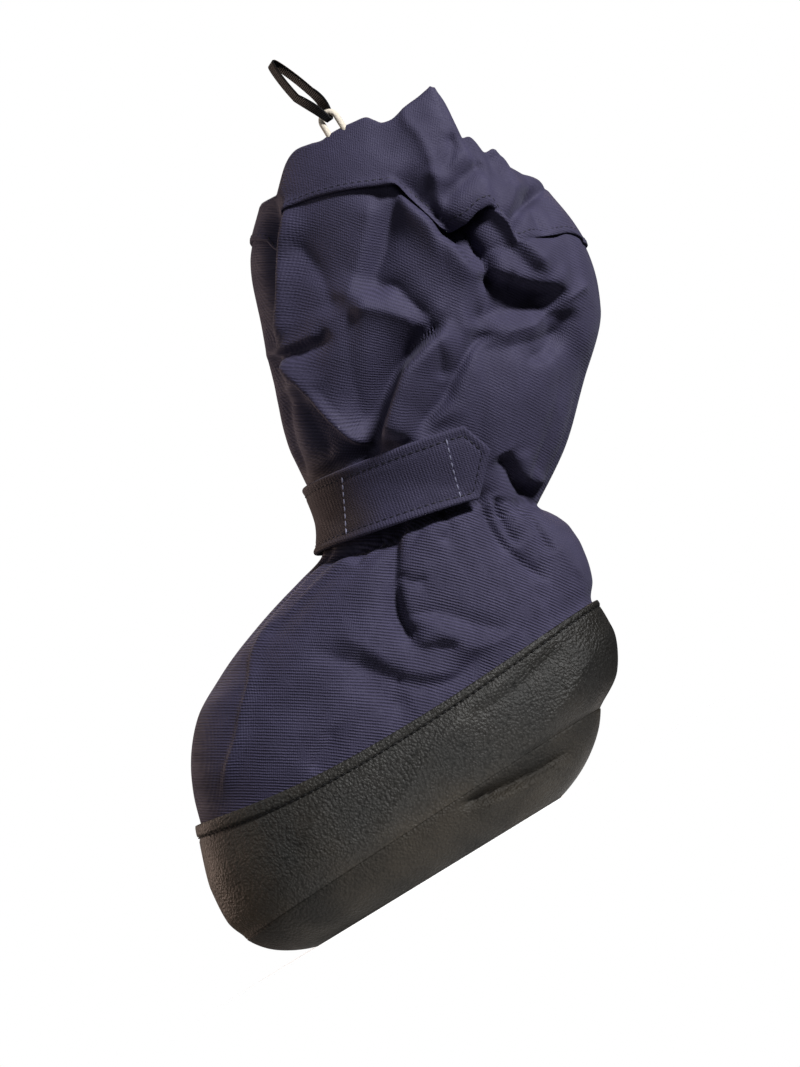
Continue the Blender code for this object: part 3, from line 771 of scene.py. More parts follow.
def strap_section(angle, height):
    """The section where the surface lies height above the middle line of the strap."""
    low, high = (np.full_like(angle, section) for section in STRAP_SECTIONS)
    return halve(low, high, lambda at: strap_axes(bare_point(at, angle))[1] < height)


def strap_angle(height, reach):
    """The angle where the strap, height above its middle line, is reach away from the ankle's front."""

    def short_of(angle):
        return strap_axes(bare_point(strap_section(angle, height), angle))[0] < reach

    low, high = (np.full_like(height, math.radians(degrees)) for degrees in STRAP_END_RANGE_DEG)
    return halve(low, high, short_of)


def strap_reach(height):
    """Length of the strap at a height above its middle line: its end is pointed."""
    above = (height - STRAP_TIP_ABOVE) / (STRAP_WIDTH / 2 - STRAP_TIP_ABOVE)
    below = (STRAP_TIP_ABOVE - height) / (STRAP_WIDTH / 2 + STRAP_TIP_ABOVE)
    return STRAP_REACH - np.where(above > 0, above * STRAP_POINT_TOP, below * STRAP_POINT_LOW)


def strap_point(angle, height, offset):
    """Points of the strap, offset over the smooth surface of the ankle."""
    section = strap_section(angle, height)
    lift = STRAP_LIFT * ease(-height, 0, STRAP_WIDTH / 2)
    return bare_point(section, angle) + outward(section, angle) * (STRAP_CLEARANCE + lift + offset)[..., None]


# Meshes


def mesh_object(name, points, faces, look, uv=None):
    """Points in millimetres and four-cornered faces as a smooth object. uv has four places for each face."""
    data = bpy.data.meshes.new(name)
    data.vertices.add(len(points))
    data.vertices.foreach_set("co", (points * MM).astype(np.float32).ravel())
    data.loops.add(faces.size)
    data.loops.foreach_set("vertex_index", faces.astype(np.int32).ravel())
    data.polygons.add(len(faces))
    data.polygons.foreach_set("loop_start", np.arange(0, faces.size, 4, dtype=np.int32))
    data.update(calc_edges=True)
    if uv is not None:
        data.uv_layers.new(name="cloth").data.foreach_set("uv", uv.astype(np.float32).ravel())
    data.validate()
    data.shade_smooth()
    data.materials.append(look)
    made = bpy.data.objects.new(name, data)
    bpy.context.scene.collection.objects.link(made)
    return made


def face_corners(grid):
    """The four corners of each face of a grid, in order round it."""
    return np.stack([grid[:-1, :-1], grid[:-1, 1:], grid[1:, 1:], grid[1:, :-1]], axis=2)


def grid_faces(rows, columns):
    """Faces of a grid whose rows are closed rings."""
    index = np.arange(rows * columns).reshape(rows, columns)
    return face_corners(np.concatenate([index, index[:, :1]], axis=1)).reshape(-1, 4)


def grid_object(name, points, look, uv=None):
    """A grid of points as an object. Its rows are closed rings, and uv has one more column than it."""
    faces = grid_faces(*points.shape[:2])
    if uv is not None:
        uv = face_corners(uv)
    return mesh_object(name, points.reshape(-1, 3), faces, look, uv)


def place(piece, slot, *nodes):
    """Every piece rides on the one body and may stand for solids, which are hidden. The slot is not used."""
    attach(piece, "root")
    if nodes:
        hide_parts(*nodes)
    return piece


def levels_between(start, end, count):
    """Sections from start to end, spaced evenly along the cloth: a mean of its front, outer side and back."""
    fine = np.linspace(start, end, LEVEL_SAMPLES)
    turns = (0.0, math.pi / 2, math.pi)
    length = np.mean([lengths_along(bare_point(fine, np.full_like(fine, turn))) for turn in turns], axis=0)
    return np.interp(np.linspace(0, length[-1], count), length, fine)


def rib_uv(points, height, lay):
    """Cloth coordinates in centimetres: along the ribs, and across them."""
    lean = math.radians(SHAFT_LEAN_DEG)
    along = points[..., 0] * math.cos(lean) + points[..., 2] * math.sin(lean)
    across = points[..., 2] * math.cos(lean) - points[..., 0] * math.sin(lean)
    behind = (lay.tilt_from - along) / RIB_TILT_SOFTNESS
    tilt = np.logaddexp(0, behind) * RIB_TILT_SOFTNESS
    across = across + lay.tilt * tilt + height * RIB_FOLLOW
    return np.stack([along + points[..., 1] * RIB_SIDE_SHARE, across], axis=-1) / MM_PER_CM


def stitch_row(name, path, normals, look, slot, stitch=DARK_STITCH):
    """Thread along a path: one small rounded stitch after another, joined in one mesh."""
    length = lengths_along(path)[-1]
    count = max(2, int(length / STITCH_PITCH))
    middles = (np.arange(count) + 0.5) * length / count
    ends = [spaced(path, middles + half * stitch.length / 2) for half in (-1, 1)]
    out = unit(spaced(np.concatenate([path, normals], axis=1), middles)[:, 3:])
    along = ends[1] - ends[0]
    side = unit(np.cross(along, out))
    share = np.linspace(-1, 1, STITCH_RINGS)
    radius = stitch.radius * np.sqrt(STITCH_BLUNTNESS - share**2)
    turns = np.linspace(0, 2 * math.pi, STITCH_SIDES, endpoint=False)
    ring = radius[:, None, None] * np.stack([np.cos(turns), np.sin(turns)], axis=1)
    middle = (ends[0] + ends[1]) / 2
    points = (
        middle[:, None, None]
        + along[:, None, None] * (share / 2)[None, :, None, None]
        + side[:, None, None] * ring[None, ..., :1]
        + out[:, None, None] * ring[None, ..., 1:]
    )
    first = np.arange(count) * STITCH_RINGS * STITCH_SIDES
    faces = (grid_faces(STITCH_RINGS, STITCH_SIDES) + first[:, None, None]).reshape(-1, 4)
    place(mesh_object(name, points.reshape(-1, 3), faces, look), slot)


# Materials


def node(tree, kind, inputs, **settings):
    """A shader node whose inputs are linked where a socket is given, and set where a value is."""
    made = tree.nodes.new("ShaderNode" + kind)
    for setting, value in settings.items():
        setattr(made, setting, value)
    for socket, value in inputs.items():
        if isinstance(value, bpy.types.NodeSocket):
            tree.links.new(value, made.inputs[socket])
        else:
            made.inputs[socket].default_value = value
    return made


def reckon(tree, operation, *values):
    """The result of a math node."""
    return node(tree, "Math", dict(enumerate(values)), operation=operation).outputs[0]


def between(tree, value, low, high):
    """A value mapped smoothly to 0 at low and 1 at high."""
    inputs = {"Value": value, "From Min": low, "From Max": high}
    return node(tree, "MapRange", inputs, interpolation_type="SMOOTHSTEP").outputs[0]


def mixed(tree, factor, first, second):
    """A mix of two colours."""
    inputs = {"Factor": factor, 6: first, 7: second}
    return node(tree, "Mix", inputs, data_type="RGBA").outputs[2]


def noise(tree, vector, scale, detail=3.0):
    return node(tree, "TexNoise", {"Vector": vector, "Scale": scale, "Detail": detail}).outputs["Fac"]


def spot_on(tree):
    """Places on the object, in metres."""
    return node(tree, "TexCoord", {}).outputs["Object"]


def axes(tree, vector):
    """The three axes of a vector."""
    return node(tree, "SeparateXYZ", {"Vector": vector}).outputs


def cloth_uv(tree):
    """Cloth coordinates in centimetres: both together, along the ribs and across them."""
    uv = node(tree, "UVMap", {}, uv_map="cloth").outputs["UV"]
    along, across, _ = axes(tree, uv)
    return uv, along, across


def opaque(colour, strength=1.0):
    return (*(channel * strength for channel in colour), 1.0)


def material(name, colour, roughness, specular):
    """A material of one colour, with its node tree and shader to build on."""
    made = bpy.data.materials.new(name)
    made.use_nodes = True
    shader = made.node_tree.nodes["Principled BSDF"]
    shader.inputs["Base Color"].default_value = opaque(colour)
    shader.inputs["Roughness"].default_value = roughness
    shader.inputs["Specular IOR Level"].default_value = specular
    return made, made.node_tree, shader


def thread_material(name, colour):
    return material(name, colour, roughness=0.6, specular=0.3)[0]


def connect(tree, shader, colour=None, roughness=None, *, height, depth):
    """Link what a texture gives to the shader: colour, roughness and the height of a bump of some depth."""
    if colour is not None:
        tree.links.new(colour, shader.inputs["Base Color"])
    if roughness is not None:
        tree.links.new(roughness, shader.inputs["Roughness"])
    bump = node(tree, "Bump", {"Height": height, "Distance": depth})
    tree.links.new(bump.outputs["Normal"], shader.inputs["Normal"])


def lines(tree, coordinate, pitch):
    """A wave across cloth coordinates in centimetres, with a pitch in millimetres."""
    return reckon(tree, "SINE", reckon(tree, "MULTIPLY", coordinate, 2 * math.pi * MM_PER_CM / pitch))


def cloth_material(name, ribbing, ribs_end=-1.0):
    """Navy cloth with fine ribs, which end behind an x, threads across them, soft mottling, painted shade and
    highlights on the ribs, painted brown shade at the front of the ankle, and lint.
    """
    made, tree, shader = material(name, NAVY, roughness=0.7, specular=0.2)
    shader.inputs["Sheen Weight"].default_value = 0.06
    shader.inputs["Sheen Roughness"].default_value = 0.45
    shader.inputs["Sheen Tint"].default_value = (0.75, 0.75, 1.0, 1.0)
    uv, along, across = cloth_uv(tree)
    rib = rib_relief(tree, uv, across, ribbing, ribs_end)
    grain = noise(tree, uv, scale=22.0)
    height = reckon(tree, "MULTIPLY_ADD", lines(tree, along, THREAD_PITCH), THREAD_RELIEF, rib)
    height = reckon(tree, "MULTIPLY_ADD", grain, GRAIN_RELIEF, height)
    mottled = between(tree, noise(tree, uv, scale=1.3, detail=5.0), 0.3, 0.75)
    # Mottling is the cloth's own tone; the ribs and grain paint shade into the grooves and highlights onto
    # the rib tops
    tone_and_painted_light = reckon(tree, "MULTIPLY_ADD", mottled, MOTTLE_SHADE, reckon(tree, "MULTIPLY", rib, RIB_PAINTED_SHADE))
    tone_and_painted_light = reckon(tree, "MULTIPLY_ADD", grain, GRAIN_TONE_AND_PAINTED_LIGHT, tone_and_painted_light)
    colour = mixed(tree, tone_and_painted_light, opaque(NAVY, 0.05), opaque(NAVY, 1.75))
    colour = mixed(tree, linted(tree, uv), colour, opaque(LINT))
    # painted brown shade over the front of the ankle
    colour = mixed(tree, painted_front_shade(tree), colour, opaque(PAINTED_SHADE_BROWN))
    roughness = reckon(tree, "MULTIPLY_ADD", mottled, -0.12, 0.74)
    connect(tree, shader, colour, roughness, height=height, depth=0.00024)
    return made


def rib_relief(tree, uv, across, ribbing, ribs_end):
    """Height of the ribs, which sway a little and are worn in places."""
    sway = reckon(tree, "MULTIPLY", noise(tree, uv, scale=0.9), RIB_SWAY)
    ribs = lines(tree, reckon(tree, "ADD", across, sway), RIB_PITCH)
    worn = between(tree, noise(tree, uv, scale=2.2, detail=4.0), 0.24, 0.56)
    strength = reckon(tree, "MULTIPLY", worn, rib_strength(tree, ribs_end))
    return reckon(tree, "MULTIPLY_ADD", reckon(tree, "MULTIPLY", ribs, strength), 0.5 * ribbing, 0.5)


def linted(tree, uv):
    """Where lint lies: a small speck in some cells of the cloth."""
    cells = node(tree, "TexVoronoi", {"Vector": uv, "Scale": 1.1}).outputs
    speck = between(tree, cells["Distance"], 0.022, 0.012)
    return reckon(tree, "MULTIPLY", speck, between(tree, cells["Color"], 0.62, 0.64))


def rib_strength(tree, ribs_end):
    """How plain the ribs show: less on the casing, which lies above a slanted plane, and none behind an x."""
    lean = math.radians(SHAFT_LEAN_DEG)
    spot = spot_on(tree)
    up = (-math.sin(lean), 0.0, math.cos(lean))
    height = node(tree, "VectorMath", {0: spot, 1: up}, operation="DOT_PRODUCT").outputs["Value"]
    low, high = CASING_RIBS_FROM
    inputs = {"Value": height, "From Min": low, "From Max": high, "To Min": 1.0, "To Max": CASING_RIBS}
    casing = node(tree, "MapRange", inputs).outputs[0]
    ahead = between(tree, axes(tree, spot)["X"], ribs_end, ribs_end + RIBS_FADE)
    return reckon(tree, "MULTIPLY", casing, ahead)


def painted_front_shade(tree):
    """How far painted brown shade covers the cloth: at the front of the ankle alone."""
    x, _, z = axes(tree, spot_on(tree))
    front = between(tree, x, *PAINTED_SHADE_FRONT)
    low = between(tree, z, *PAINTED_SHADE_LOW)
    high = between(tree, z, *PAINTED_SHADE_HIGH)
    strength = reckon(tree, "MULTIPLY", high, PAINTED_SHADE_STRENGTH)
    return reckon(tree, "MULTIPLY", reckon(tree, "MULTIPLY", front, low), strength)


def grain_material(name, base, dustiness, roughness):
    """Black coated cloth with a pebbled grain, painted lighter on the pebbles' tops and darker between them
    as light and shade: rubbed, dusty towards toe and floor, darker at the heel.
    """
    made, tree, shader = material(name, base, roughness, specular=0.26)
    spot = spot_on(tree)
    cells = node(tree, "TexVoronoi", {"Vector": spot, "Scale": 1250.0}, feature="SMOOTH_F1")
    pebbles = reckon(tree, "SUBTRACT", 1.0, cells.outputs["Distance"])
    fine = noise(tree, spot, scale=2600.0)
    height = reckon(tree, "MULTIPLY_ADD", fine, 0.5, pebbles)
    rubbed = between(tree, noise(tree, spot, scale=60.0, detail=4.0), 0.35, 0.7)
    uneven = reckon(tree, "MULTIPLY_ADD", rubbed, -0.16, roughness + 0.06)
    x, _, z = axes(tree, spot)
    low = between(tree, z, *DUST_LOW)
    toe = between(tree, x, *DUST_TOE)
    cloud = between(tree, noise(tree, spot, scale=30.0, detail=6.0), 0.25, 0.8)
    dust = reckon(tree, "MULTIPLY", reckon(tree, "MAXIMUM", low, toe), cloud)
    dust = reckon(tree, "MULTIPLY_ADD", dust, dustiness, reckon(tree, "MULTIPLY", rubbed, 0.06))
    heel = between(tree, x, *DARK_HEEL)
    # painted light on the pebbles' tops and painted shade between them
    painted_grain_light = mixed(tree, pebbles, opaque(base, 0.0), opaque(base, 1.95))
    painted_grain_light = mixed(tree, reckon(tree, "MULTIPLY", heel, 0.75), painted_grain_light, opaque(base, 0.2))
    colour = mixed(tree, dust, painted_grain_light, opaque(DUST))
    connect(tree, shader, colour, uneven, height=height, depth=0.00042)
    return made


def fleece_material():
    """Dark brushed fleece with a soft pile."""
    made, tree, shader = material("fleece", FLEECE, roughness=0.95, specular=0.1)
    shader.inputs["Sheen Weight"].default_value = 0.15
    pile = noise(tree, spot_on(tree), scale=900.0, detail=5.0)
    colour = mixed(tree, pile, opaque(FLEECE, 0.5), opaque(FLEECE, 1.5))
    connect(tree, shader, colour, height=pile, depth=0.0008)
    return made


def ribbon_material():
    """Black woven ribbon with fine cross ridges."""
    made, tree, shader = material("ribbon", RIBBON, roughness=0.6, specular=0.25)
    across = cloth_uv(tree)[2]
    connect(tree, shader, height=lines(tree, across, RIBBON_PITCH), depth=0.00008)
    return made


def elastic_material():
    """Cream braided elastic, slightly soiled."""
    made, tree, shader = material("elastic", CREAM, roughness=0.8, specular=0.3)
    braid = noise(tree, spot_on(tree), scale=1400.0, detail=2.0)
    colour = mixed(tree, braid, opaque(CREAM, 0.6), opaque(CREAM, 1.1))
    connect(tree, shader, colour, height=braid, depth=0.0002)
    return made


# Pieces


def closed_turn():
    return np.linspace(0, 2 * math.pi, CLOTH_COLUMNS + 1)


def build_foot_cloth(look):
    """Cloth of the foot, from behind the rand's top edge up to the ankle's elastic."""
    levels = levels_between(CLOTH_START, SECTION["ankle"], FOOT_ROWS)
    at, angle = np.meshgrid(levels, closed_turn(), indexing="ij")
    points, _, height = cloth_point(at, angle)
    uv = rib_uv(bare_point(at, angle), height, FOOT_RIBS)
    place(grid_object("foot_cloth", points[:, :-1], look, uv=uv), "navy_cloth", "upper")


def shaft_rows(angle):
    """Sections, offsets and casing marks of the shaft's rows, some of which follow the hem of the casing."""
    hem = hem_section(angle)
    ankle, casing = SECTION["ankle"], SECTION["casing_hem"]
    share = (levels_between(ankle, casing, SHAFT_ROWS_LOW) - ankle) / (casing - ankle)
    at = [ankle + (hem - ankle) * s for s in share[:-1]]
    offset = [0.0] * len(at)
    on_casing = [False] * len(at)
    for lip in HEM_LIP:
        at.append(hem + lip.sections)
        offset.append(lip.height)
        on_casing.append(lip.on_casing)
    start = hem + HEM_LIP[-1].sections
    for s in np.linspace(0, 1, SHAFT_ROWS_CASING)[1:]:
        at.append(start + (SECTION["collar"] - start) * s)
        offset.append(HEM_LIP[-1].height)
        on_casing.append(True)
    return np.array(at), np.array(offset)[:, None], np.array(on_casing)[:, None]


def build_shaft_cloth(look):
    """Slack cloth of the shaft, rolled over at the collar and turned in as the casing's facing."""
    turn = closed_turn()
    at, offset, on_casing = shaft_rows(turn)
    angle = np.broadcast_to(turn, at.shape)
    points, normals, height = cloth_point(at, angle, offset, on_casing)
    uv = rib_uv(bare_point(at, angle), height, SHAFT_RIBS)
    rim_up = unit(points[-1] - points[-3])
    out = normals[-1]
    radius = (UPPER_WALL + CASING_STEP) / 2
    middle = points[-1] - out * radius
    inner = []
    for bend in np.linspace(0, math.pi, RIM_ROWS + 1)[1:]:
        inner.append(middle + out * radius * math.cos(bend) + rim_up * radius * math.sin(bend))
    for row in range(len(at) - 3, len(at) - 3 - FACING_ROWS * 2, -2):
        inner.append(points[row] - normals[row] * radius * 2)
    inner_uv = uv[-1] + np.linspace(*FACING_UV, len(inner))[:, None, None] * np.array([0.0, 1.0])
    points = np.concatenate([points, inner])
    uv = np.concatenate([uv, inner_uv])
    place(grid_object("shaft_cloth", points[:, :-1], look, uv=uv), "shaft_cloth", "shaft")


def build_lining(look):
    """Fleece inside foot and shaft, following the folds of the cloth from within."""
    angles = np.linspace(0, 2 * math.pi, LINING_COLUMNS, endpoint=False)
    levels = levels_between(LINING_START, SECTION["collar"] - LINING_BELOW, LINING_ROWS)
    at, angle = np.meshgrid(levels, angles, indexing="ij")
    _, normals, height = cloth_point(at, angle, on_casing=at > hem_section(angle))
    lowest = height.copy()
    for shift in (-2, -1, 1, 2):
        lowest = np.minimum(lowest, np.roll(height, shift, axis=1))
    for shift in (1, 2):
        lowest[shift:] = np.minimum(lowest[shift:], height[:-shift])
        lowest[:-shift] = np.minimum(lowest[:-shift], height[shift:])
    inner = bare_point(at, angle) + normals * (np.minimum(lowest, 0) - LINING_SINK)[..., None]
    place(grid_object("lining", inner[:, ::-1], look), "dark_fleece")


def build_rand(look):
    """Grained band round the foot, from the sole seam up to a folded top edge that turns in."""
    turn = np.linspace(0, 2 * math.pi, RAND_COLUMNS, endpoint=False)
    top = rand_top(turn)
    fold_line = top * (1 - RAND_FOLD_SHARE)
    rows = [(fold_line * share, 0.0) for share in np.linspace(0, RAND_FACE_SHARE, RAND_ROWS)]
    rows += [((top if row.from_top else fold_line) + row.sections, row.height) for row in RAND_EDGE]
    points = np.array([rand_point(at, turn, offset) for at, offset in rows])
    place(grid_object("rand_skin", points, look), "black_grain", "rand")


def dish(inset, last_bend, lowest):
    """Rows of a soft sole, inset from the outsole, from its middle to the flat edge and up to the seam."""
    turn = np.linspace(0, 2 * math.pi, SOLE_COLUMNS, endpoint=False)
    seam = np.zeros_like(turn)
    rim = bare_point(seam, turn) + outward(seam, turn) * (GAP + RAND_WALL)
    ahead = np.roll(rim, -1, axis=0) - np.roll(rim, 1, axis=0)
    edge = rim + unit(np.stack([-ahead[:, 1], ahead[:, 0], 0 * seam], axis=1)) * inset
    back, front = rim[:, 0].min(), rim[:, 0].max()
    side = rim[:, 1].max()
    shrink = (front - back - SOLE_TOE_ROUND - SOLE_HEEL_ROUND) / (front - back)
    flat_x = back + SOLE_HEEL_ROUND + (rim[:, 0] - back) * shrink
    flat_y = rim[:, 1] * (side - SOLE_SIDE_ROUND) / side
    middle = flat_x.mean()
    rows = []
    for share in np.linspace(*SOLE_MIDDLE, SOLE_ROWS // 2):
        rows.append(np.stack([middle + (flat_x - middle) * share, flat_y * share, 0 * seam + lowest], axis=1))
    for bend in np.radians(np.linspace(90, last_bend, SOLE_ROWS)):
        straight = bend * 2 / math.pi
        under = 1 - math.cos(bend) + SOLE_BEVEL * (straight - 1 + math.cos(bend))
        above = 1 - math.sin(bend) + SOLE_BEVEL * (math.sin(bend) - straight)
        x = edge[:, 0] + (flat_x - edge[:, 0]) * under
        y = edge[:, 1] + (flat_y - edge[:, 1]) * under
        z = lowest + (rim[:, 2] - GAP - lowest) * above
        rows.append(np.stack([x, y, z], axis=1))
    return np.array(rows)


def build_sole(look):
    """Soft sole, tucked in at the seam under the rand."""
    points = dish(0.0, 0, 0.0)
    below_seam = points[-1, :, 2] - points[..., 2]
    tucks = []
    for depth in SOLE_TUCKS:
        shares = np.array([1 - depth / SOLE_TUCK_LENGTH, 1 - depth / SOLE_TUCK_WIDTH, 1.0])
        tucks.append(points[-1] * shares + UP * depth)
    points = np.concatenate([points, tucks])
    side = unit(points * SOLE_SIDEWAYS)
    swell = waves(points[..., 0], points[..., 1] + points[..., 2], SOLE_RIPPLE)
    swell = swell * ease(points[..., 2], *SOLE_SWELL_FROM) + creases(SOLE_CREASES, points, side)
    swell[: len(below_seam)] *= ease(below_seam, 0, SOLE_SEAM_CALM)
    swell[len(below_seam):] = 0.0
    points = points + side * swell[..., None]
    place(grid_object("sole_skin", points, look), "sole_grain", "outsole")


def build_insole(look):
    """Fleece pad on the sole, turned up with it."""
    above = SOLE_WALL + INSOLE_GAP
    low = dish(above, INSOLE_EDGE_DEG, above)
    high = dish(above, INSOLE_EDGE_DEG, above + INSOLE_WALL)[::-1]
    points = np.concatenate([low, high * INSOLE_TOP_SHARES])
    pad = place(grid_object("insole_pad", points, look), "dark_fleece", "insole")


def build_strap(look):
    """Doubled band round the ankle's front, with rounded edges and a stitched groove inside them."""
    share = np.sin(np.linspace(-0.5, 0.5, STRAP_HALF_ROWS) * math.pi) / 2
    height = share * STRAP_WIDTH
    end = strap_angle(height, strap_reach(height))
    root = math.radians(STRAP_ROOT_DEG)
    along = np.sin(np.linspace(0, 0.5, STRAP_STEPS) * math.pi)[:, None]
    angle = root + (end - root) * along
    heights = np.broadcast_to(height, angle.shape)
    flat = strap_point(angle, heights, 0.0)
    to_end = lengths_along(flat[:, STRAP_HALF_ROWS // 2])
    to_end = (to_end[-1] - to_end)[:, None]
    edge = np.minimum(STRAP_WIDTH / 2 - np.abs(heights), to_end)
    half = STRAP_WALL / 2
    round_ = np.sqrt(1 - (1 - np.clip(edge / half, 0, 1)) ** 2) * half
    groove = STRAP_GROOVE * bell(edge - STRAP_SEAM_IN, STRAP_GROOVE_WIDTH)
    top = strap_point(angle, heights, half + round_ - groove)
    low = strap_point(angle, heights, half - round_)
    points = np.concatenate([top, low[:, ::-1]], axis=1)
    reach = strap_axes(flat)[0]
    length = np.where(angle > 0, reach, -reach)
    uv = np.stack([heights, length], axis=-1) / MM_PER_CM
    uv = np.concatenate([uv, uv[:, ::-1], uv[:, :1]], axis=1)
    place(grid_object("strap_band", points, look, uv=uv), "strap_cloth", "strap")


def stitch_strap(dark, pale):
    """Thread on the strap: dark along its edges and round its point, pale across it."""
    inside = STRAP_WIDTH / 2 - STRAP_SEAM_IN
    on_top = STRAP_WALL - STITCH_SINK
    for name, height in (("strap_stitch_top", inside), ("strap_stitch_low", -inside)):
        last = strap_angle(np.array([height]), strap_reach(np.array([height])) - STRAP_SEAM_IN)[0]
        angle = np.linspace(math.radians(STRAP_ROOT_DEG + STITCH_START_DEG), last, EDGE_STEPS)
        strap_thread(name, angle, np.full_like(angle, height), on_top, dark)
    height = np.linspace(-inside, inside, CROSS_STEPS)
    tip = strap_angle(height, strap_reach(height) - STRAP_SEAM_IN)
    strap_thread("strap_stitch_point", tip, height, on_top, dark)
    height = np.linspace(-inside - PALE_OVERRUN, inside + PALE_OVERRUN, CROSS_STEPS)
    for line in STRAP_LINES:
        angle = strap_angle(height, line.low + (line.top - line.low) * (height / STRAP_WIDTH + 0.5))
        strap_thread("strap_" + line.name, angle, height, on_top + PALE_RISE, pale, PALE_STITCH)


def strap_thread(name, angle, height, offset, look, stitch=DARK_STITCH):
    path = strap_point(angle, height, offset)
    normals = outward(strap_section(angle, height), angle)
    stitch_row(name, path, normals, look, "strap_cloth", stitch)


def stitch_hem(look):
    """Thread just above the hem of the casing."""
    turn = np.linspace(0, 2 * math.pi, SEAM_STEPS)
    offset = HEM_LIP[-1].height + HEM_STITCH_RISE
    path, normals, _ = cloth_point(hem_section(turn) + HEM_STITCH, turn, offset, True)
    stitch_row("hem_stitch", path, normals, look, "shaft_cloth")


def stitch_rand(look):
    """Thread in the groove under the folded top edge of the rand."""
    turn = np.linspace(0, 2 * math.pi, SEAM_STEPS)
    at = rand_top(turn) * (1 - RAND_FOLD_SHARE) - RAND_STITCH_BELOW
    stitch_row("rand_stitch", rand_point(at, turn), outward(at, turn), look, "black_grain")


def collar_seat():
    """Where the drawcord leaves the casing: a point on its edge, the level way along it, and its slope."""
    small_turn = 0.05
    turns = math.radians(CORD_EXIT_DEG) + np.array([0.0, -small_turn, small_turn])
    top = np.full_like(turns, SECTION["collar"])
    seat, before, after = bare_point(top, turns) + outward(top, turns) * (CASING_STEP - UPPER_WALL / 2)
    along = after - before
    level = np.array([along[0], along[1], 0.0])
    length = np.linalg.norm(level)
    return seat, level / length, along[2] / length


def build_drawcord(look):
    """Elastic cord that stands out of the casing as a small eye."""
    seat, level, slope = collar_seat()
    half = (CORD_EYE_WIDTH + CORD_DIAMETER) / 2
    shoulder = CORD_EYE_HEIGHT - half
    bend = np.linspace(0, math.pi, CORD_BEND_STEPS)
    arch = seat - level * half * np.cos(bend)[:, None] + UP * (shoulder + half * np.sin(bend))[:, None]
    feet = [seat + level * half * side + UP * (slope * half * side - CORD_SINK) for side in (-1, 1)]
    rising = np.linspace(feet[0], arch[0], CORD_LEG_STEPS)[:-1]
    falling = np.linspace(arch[-1], feet[1], CORD_LEG_STEPS)[1:]
    path = np.concatenate([rising, arch, falling])
    side = np.cross(level, UP)
    out = np.cross(np.gradient(path, axis=0), side)
    turns = np.linspace(0, 2 * math.pi, CORD_SIDES, endpoint=False)
    ring = np.cos(turns)[:, None] * unit(out)[:, None] + np.sin(turns)[:, None] * side
    points = path[:, None] + ring * CORD_DIAMETER / 2
    place(grid_object("drawcord_eye", points, look), "cream_elastic", "drawcord")


def loop_line(share):
    """Middle line of the pull loop in its own plane: sideways and height, share from 0 to 1 right round."""
    turn = 2 * math.pi * share
    height = LOOP_LENGTH * (0.5 - 0.5 * np.cos(turn))
    narrowing = 1 - LOOP_TIP_NARROWING * (height / LOOP_LENGTH) ** 2
    bulge = np.sign(np.sin(turn)) * np.abs(np.sin(turn)) ** LOOP_BLUNTNESS
    return LOOP_OPENING / 2 * bulge * narrowing, height


def build_pull_loop(look):
    """Ribbon loop through the drawcord's eye, folded narrow to pass it and twisted above it."""
    seat, level, _ = collar_seat()
    across = np.cross(UP, level)
    eye_top = seat + UP * (CORD_EYE_HEIGHT - CORD_DIAMETER / 2 - LOOP_WALL - 2 * GAP)
    aside, height = (line[:, None] for line in loop_line(np.linspace(0, 1, LOOP_STEPS)))
    widen = np.minimum(1.0, height / (LOOP_FULL_AT * LOOP_LENGTH))
    half = (LOOP_EYE_WIDTH + (LOOP_WIDTH - LOOP_EYE_WIDTH) * widen) / 2
    twist = math.radians(LOOP_TWIST_DEG) * widen
    facing = across * np.cos(twist) + level * np.sin(twist)
    width_way = np.cross(UP, facing)
    lean = math.tan(math.radians(LOOP_LEAN_DEG)) * widen
    middle = eye_top + facing * aside + UP * height + FORWARD * height * lean
    ahead = np.roll(middle[:-1], -1, axis=0) - np.roll(middle[:-1], 1, axis=0)
    out = unit(np.cross(width_way, np.concatenate([ahead, ahead[:1]])))
    rim = np.linspace(-1, 1, LOOP_ROWS)
    thick = LOOP_WALL / 2 * (1 - rim**LOOP_EDGE_POWER)
    thick = thick * (LOOP_MIDDLE + LOOP_RIM * ease(np.abs(rim), *LOOP_RIM_FROM))
    flat = middle[:, None] + width_way[:, None] * (half * rim)[..., None]
    raised = out[:, None] * thick[:, None]
    points = np.concatenate([flat + raised, (flat - raised)[:, ::-1]], axis=1)
    run = lengths_along(middle)[:, None] / MM_PER_CM
    uv = np.stack(np.broadcast_arrays(np.arange(points.shape[1] + 1) * LOOP_UV_STEP, run), axis=-1)
    place(grid_object("pull_ribbon", points, look, uv=uv), "black_ribbon", "pull_loop")


# Camera and stage


def set_camera():
    """The photo's view of the shoe, rolled, with the camera just above the floor."""
    at = Vector(CAMERA_AT) * MM
    forward = (Vector(CAMERA_TARGET) * MM - at).normalized()
    right = forward.cross(Vector(UP)).normalized()
    up = right.cross(forward)
    roll = math.radians(CAMERA_ROLL_DEG)
    image_right = right * math.cos(roll) + up * math.sin(roll)
    image_up = up * math.cos(roll) - right * math.sin(roll)
    data = bpy.data.cameras.new("camera")
    data.sensor_width = SENSOR
    data.lens = FOCAL_PIXELS * SENSOR / IMAGE_LONG_SIDE
    data.clip_start = 0.01
    camera = bpy.data.objects.new("camera", data)
    turn = Matrix((image_right, image_up, -forward)).transposed().to_4x4()
    camera.matrix_world = Matrix.Translation(at) @ turn
    bpy.context.scene.collection.objects.link(camera)
    bpy.context.scene.camera = camera


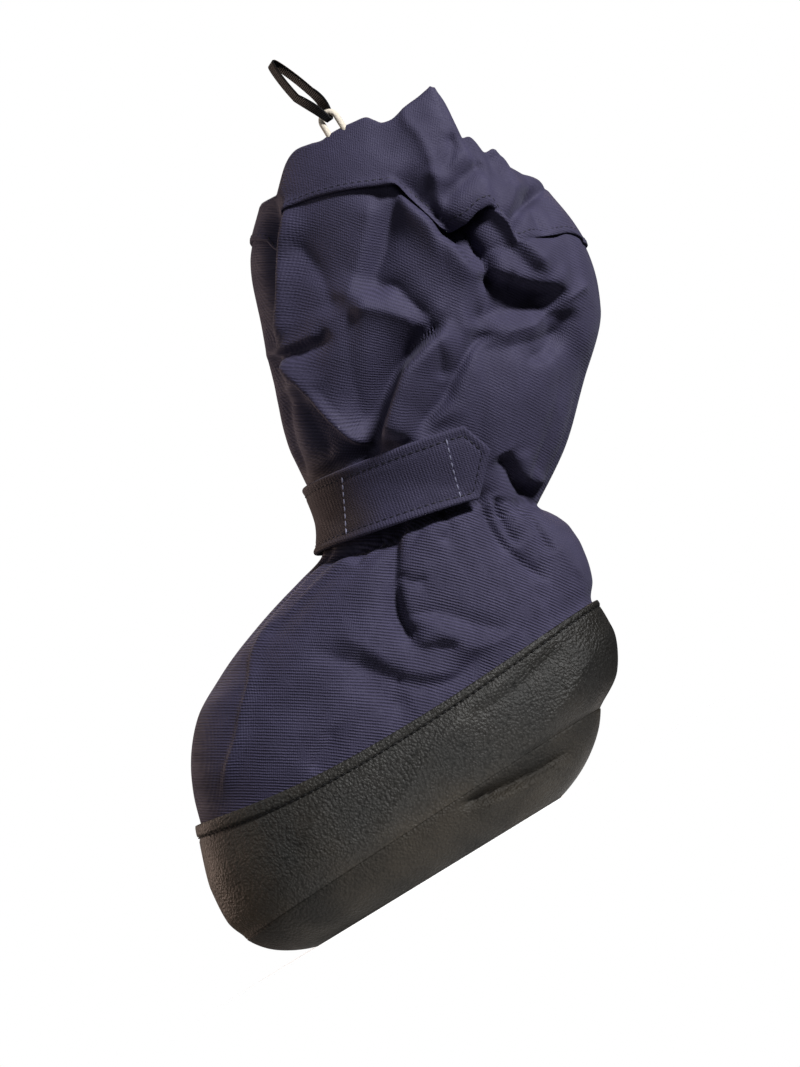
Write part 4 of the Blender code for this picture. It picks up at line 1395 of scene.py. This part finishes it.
def add_lamp(lamp):
    data = bpy.data.lights.new(lamp.name, "AREA")
    data.color = lamp.colour
    data.size = lamp.size
    data.energy = lamp.power
    made = bpy.data.objects.new(lamp.name, data)
    made.location = Vector(lamp.at)
    aim = Vector(LAMP_TARGET) - made.location
    made.rotation_euler = aim.to_track_quat("-Z", "Y").to_euler()
    bpy.context.scene.collection.objects.link(made)


def set_world():
    """White behind the shoe, but a dimmer light all round."""
    world = bpy.context.scene.world or bpy.data.worlds.new("world")
    bpy.context.scene.world = world
    world.use_nodes = True
    tree = world.node_tree
    seen = node(tree, "LightPath", {}).outputs["Is Camera Ray"]
    strength = reckon(tree, "MULTIPLY_ADD", seen, 1.0 - ROOM_LIGHT, ROOM_LIGHT)
    back = tree.nodes["Background"]
    back.inputs["Color"].default_value = opaque(WHITE)
    tree.links.new(strength, back.inputs["Strength"])


def floor_material():
    """Pale floor that fades out into the white around it."""
    made, tree, shader = material("floor", FLOOR_COLOUR, roughness=0.9, specular=0.1)
    shader.inputs["Emission Color"].default_value = opaque(WHITE)
    shader.inputs["Emission Strength"].default_value = FLOOR_GLOW
    away = node(tree, "VectorMath", {0: spot_on(tree)}, operation="LENGTH").outputs["Value"]
    tree.links.new(between(tree, away, *FLOOR_FADE), shader.inputs["Alpha"])
    return made


def set_stage():
    """Floor under the shoe, the room's white and the lamps."""
    set_world()
    bpy.ops.mesh.primitive_plane_add(size=2.0)
    floor = bpy.context.active_object
    floor.name = "floor"
    floor.data.materials.append(floor_material())
    for lamp in LAMPS:
        add_lamp(lamp)
    bpy.context.scene.view_settings.view_transform = "Standard"


def dress():
    """All pieces of the shoe, each with its material."""
    build_foot_cloth(cloth_material("navy_cloth", ribbing=0.8, ribs_end=FOOT_RIBS_END))
    build_shaft_cloth(cloth_material("shaft_cloth", ribbing=0.36))
    fleece = fleece_material()
    build_lining(fleece)
    build_insole(fleece)
    build_rand(grain_material("rand_grain", BLACK, dustiness=0.7, roughness=0.54))
    build_sole(grain_material("sole_grain", SOLE_BLACK_PAINTED_SHADE, dustiness=0.35, roughness=0.66))
    build_strap(cloth_material("strap_cloth", ribbing=0.35))
    dark = thread_material("dark_thread", DARK_THREAD)
    stitch_strap(dark, thread_material("pale_thread", PALE_THREAD))
    stitch_hem(dark)
    stitch_rand(thread_material("black_thread", RIBBON))
    build_drawcord(elastic_material())
    build_pull_loop(ribbon_material())


set_camera()
set_stage()
dress()
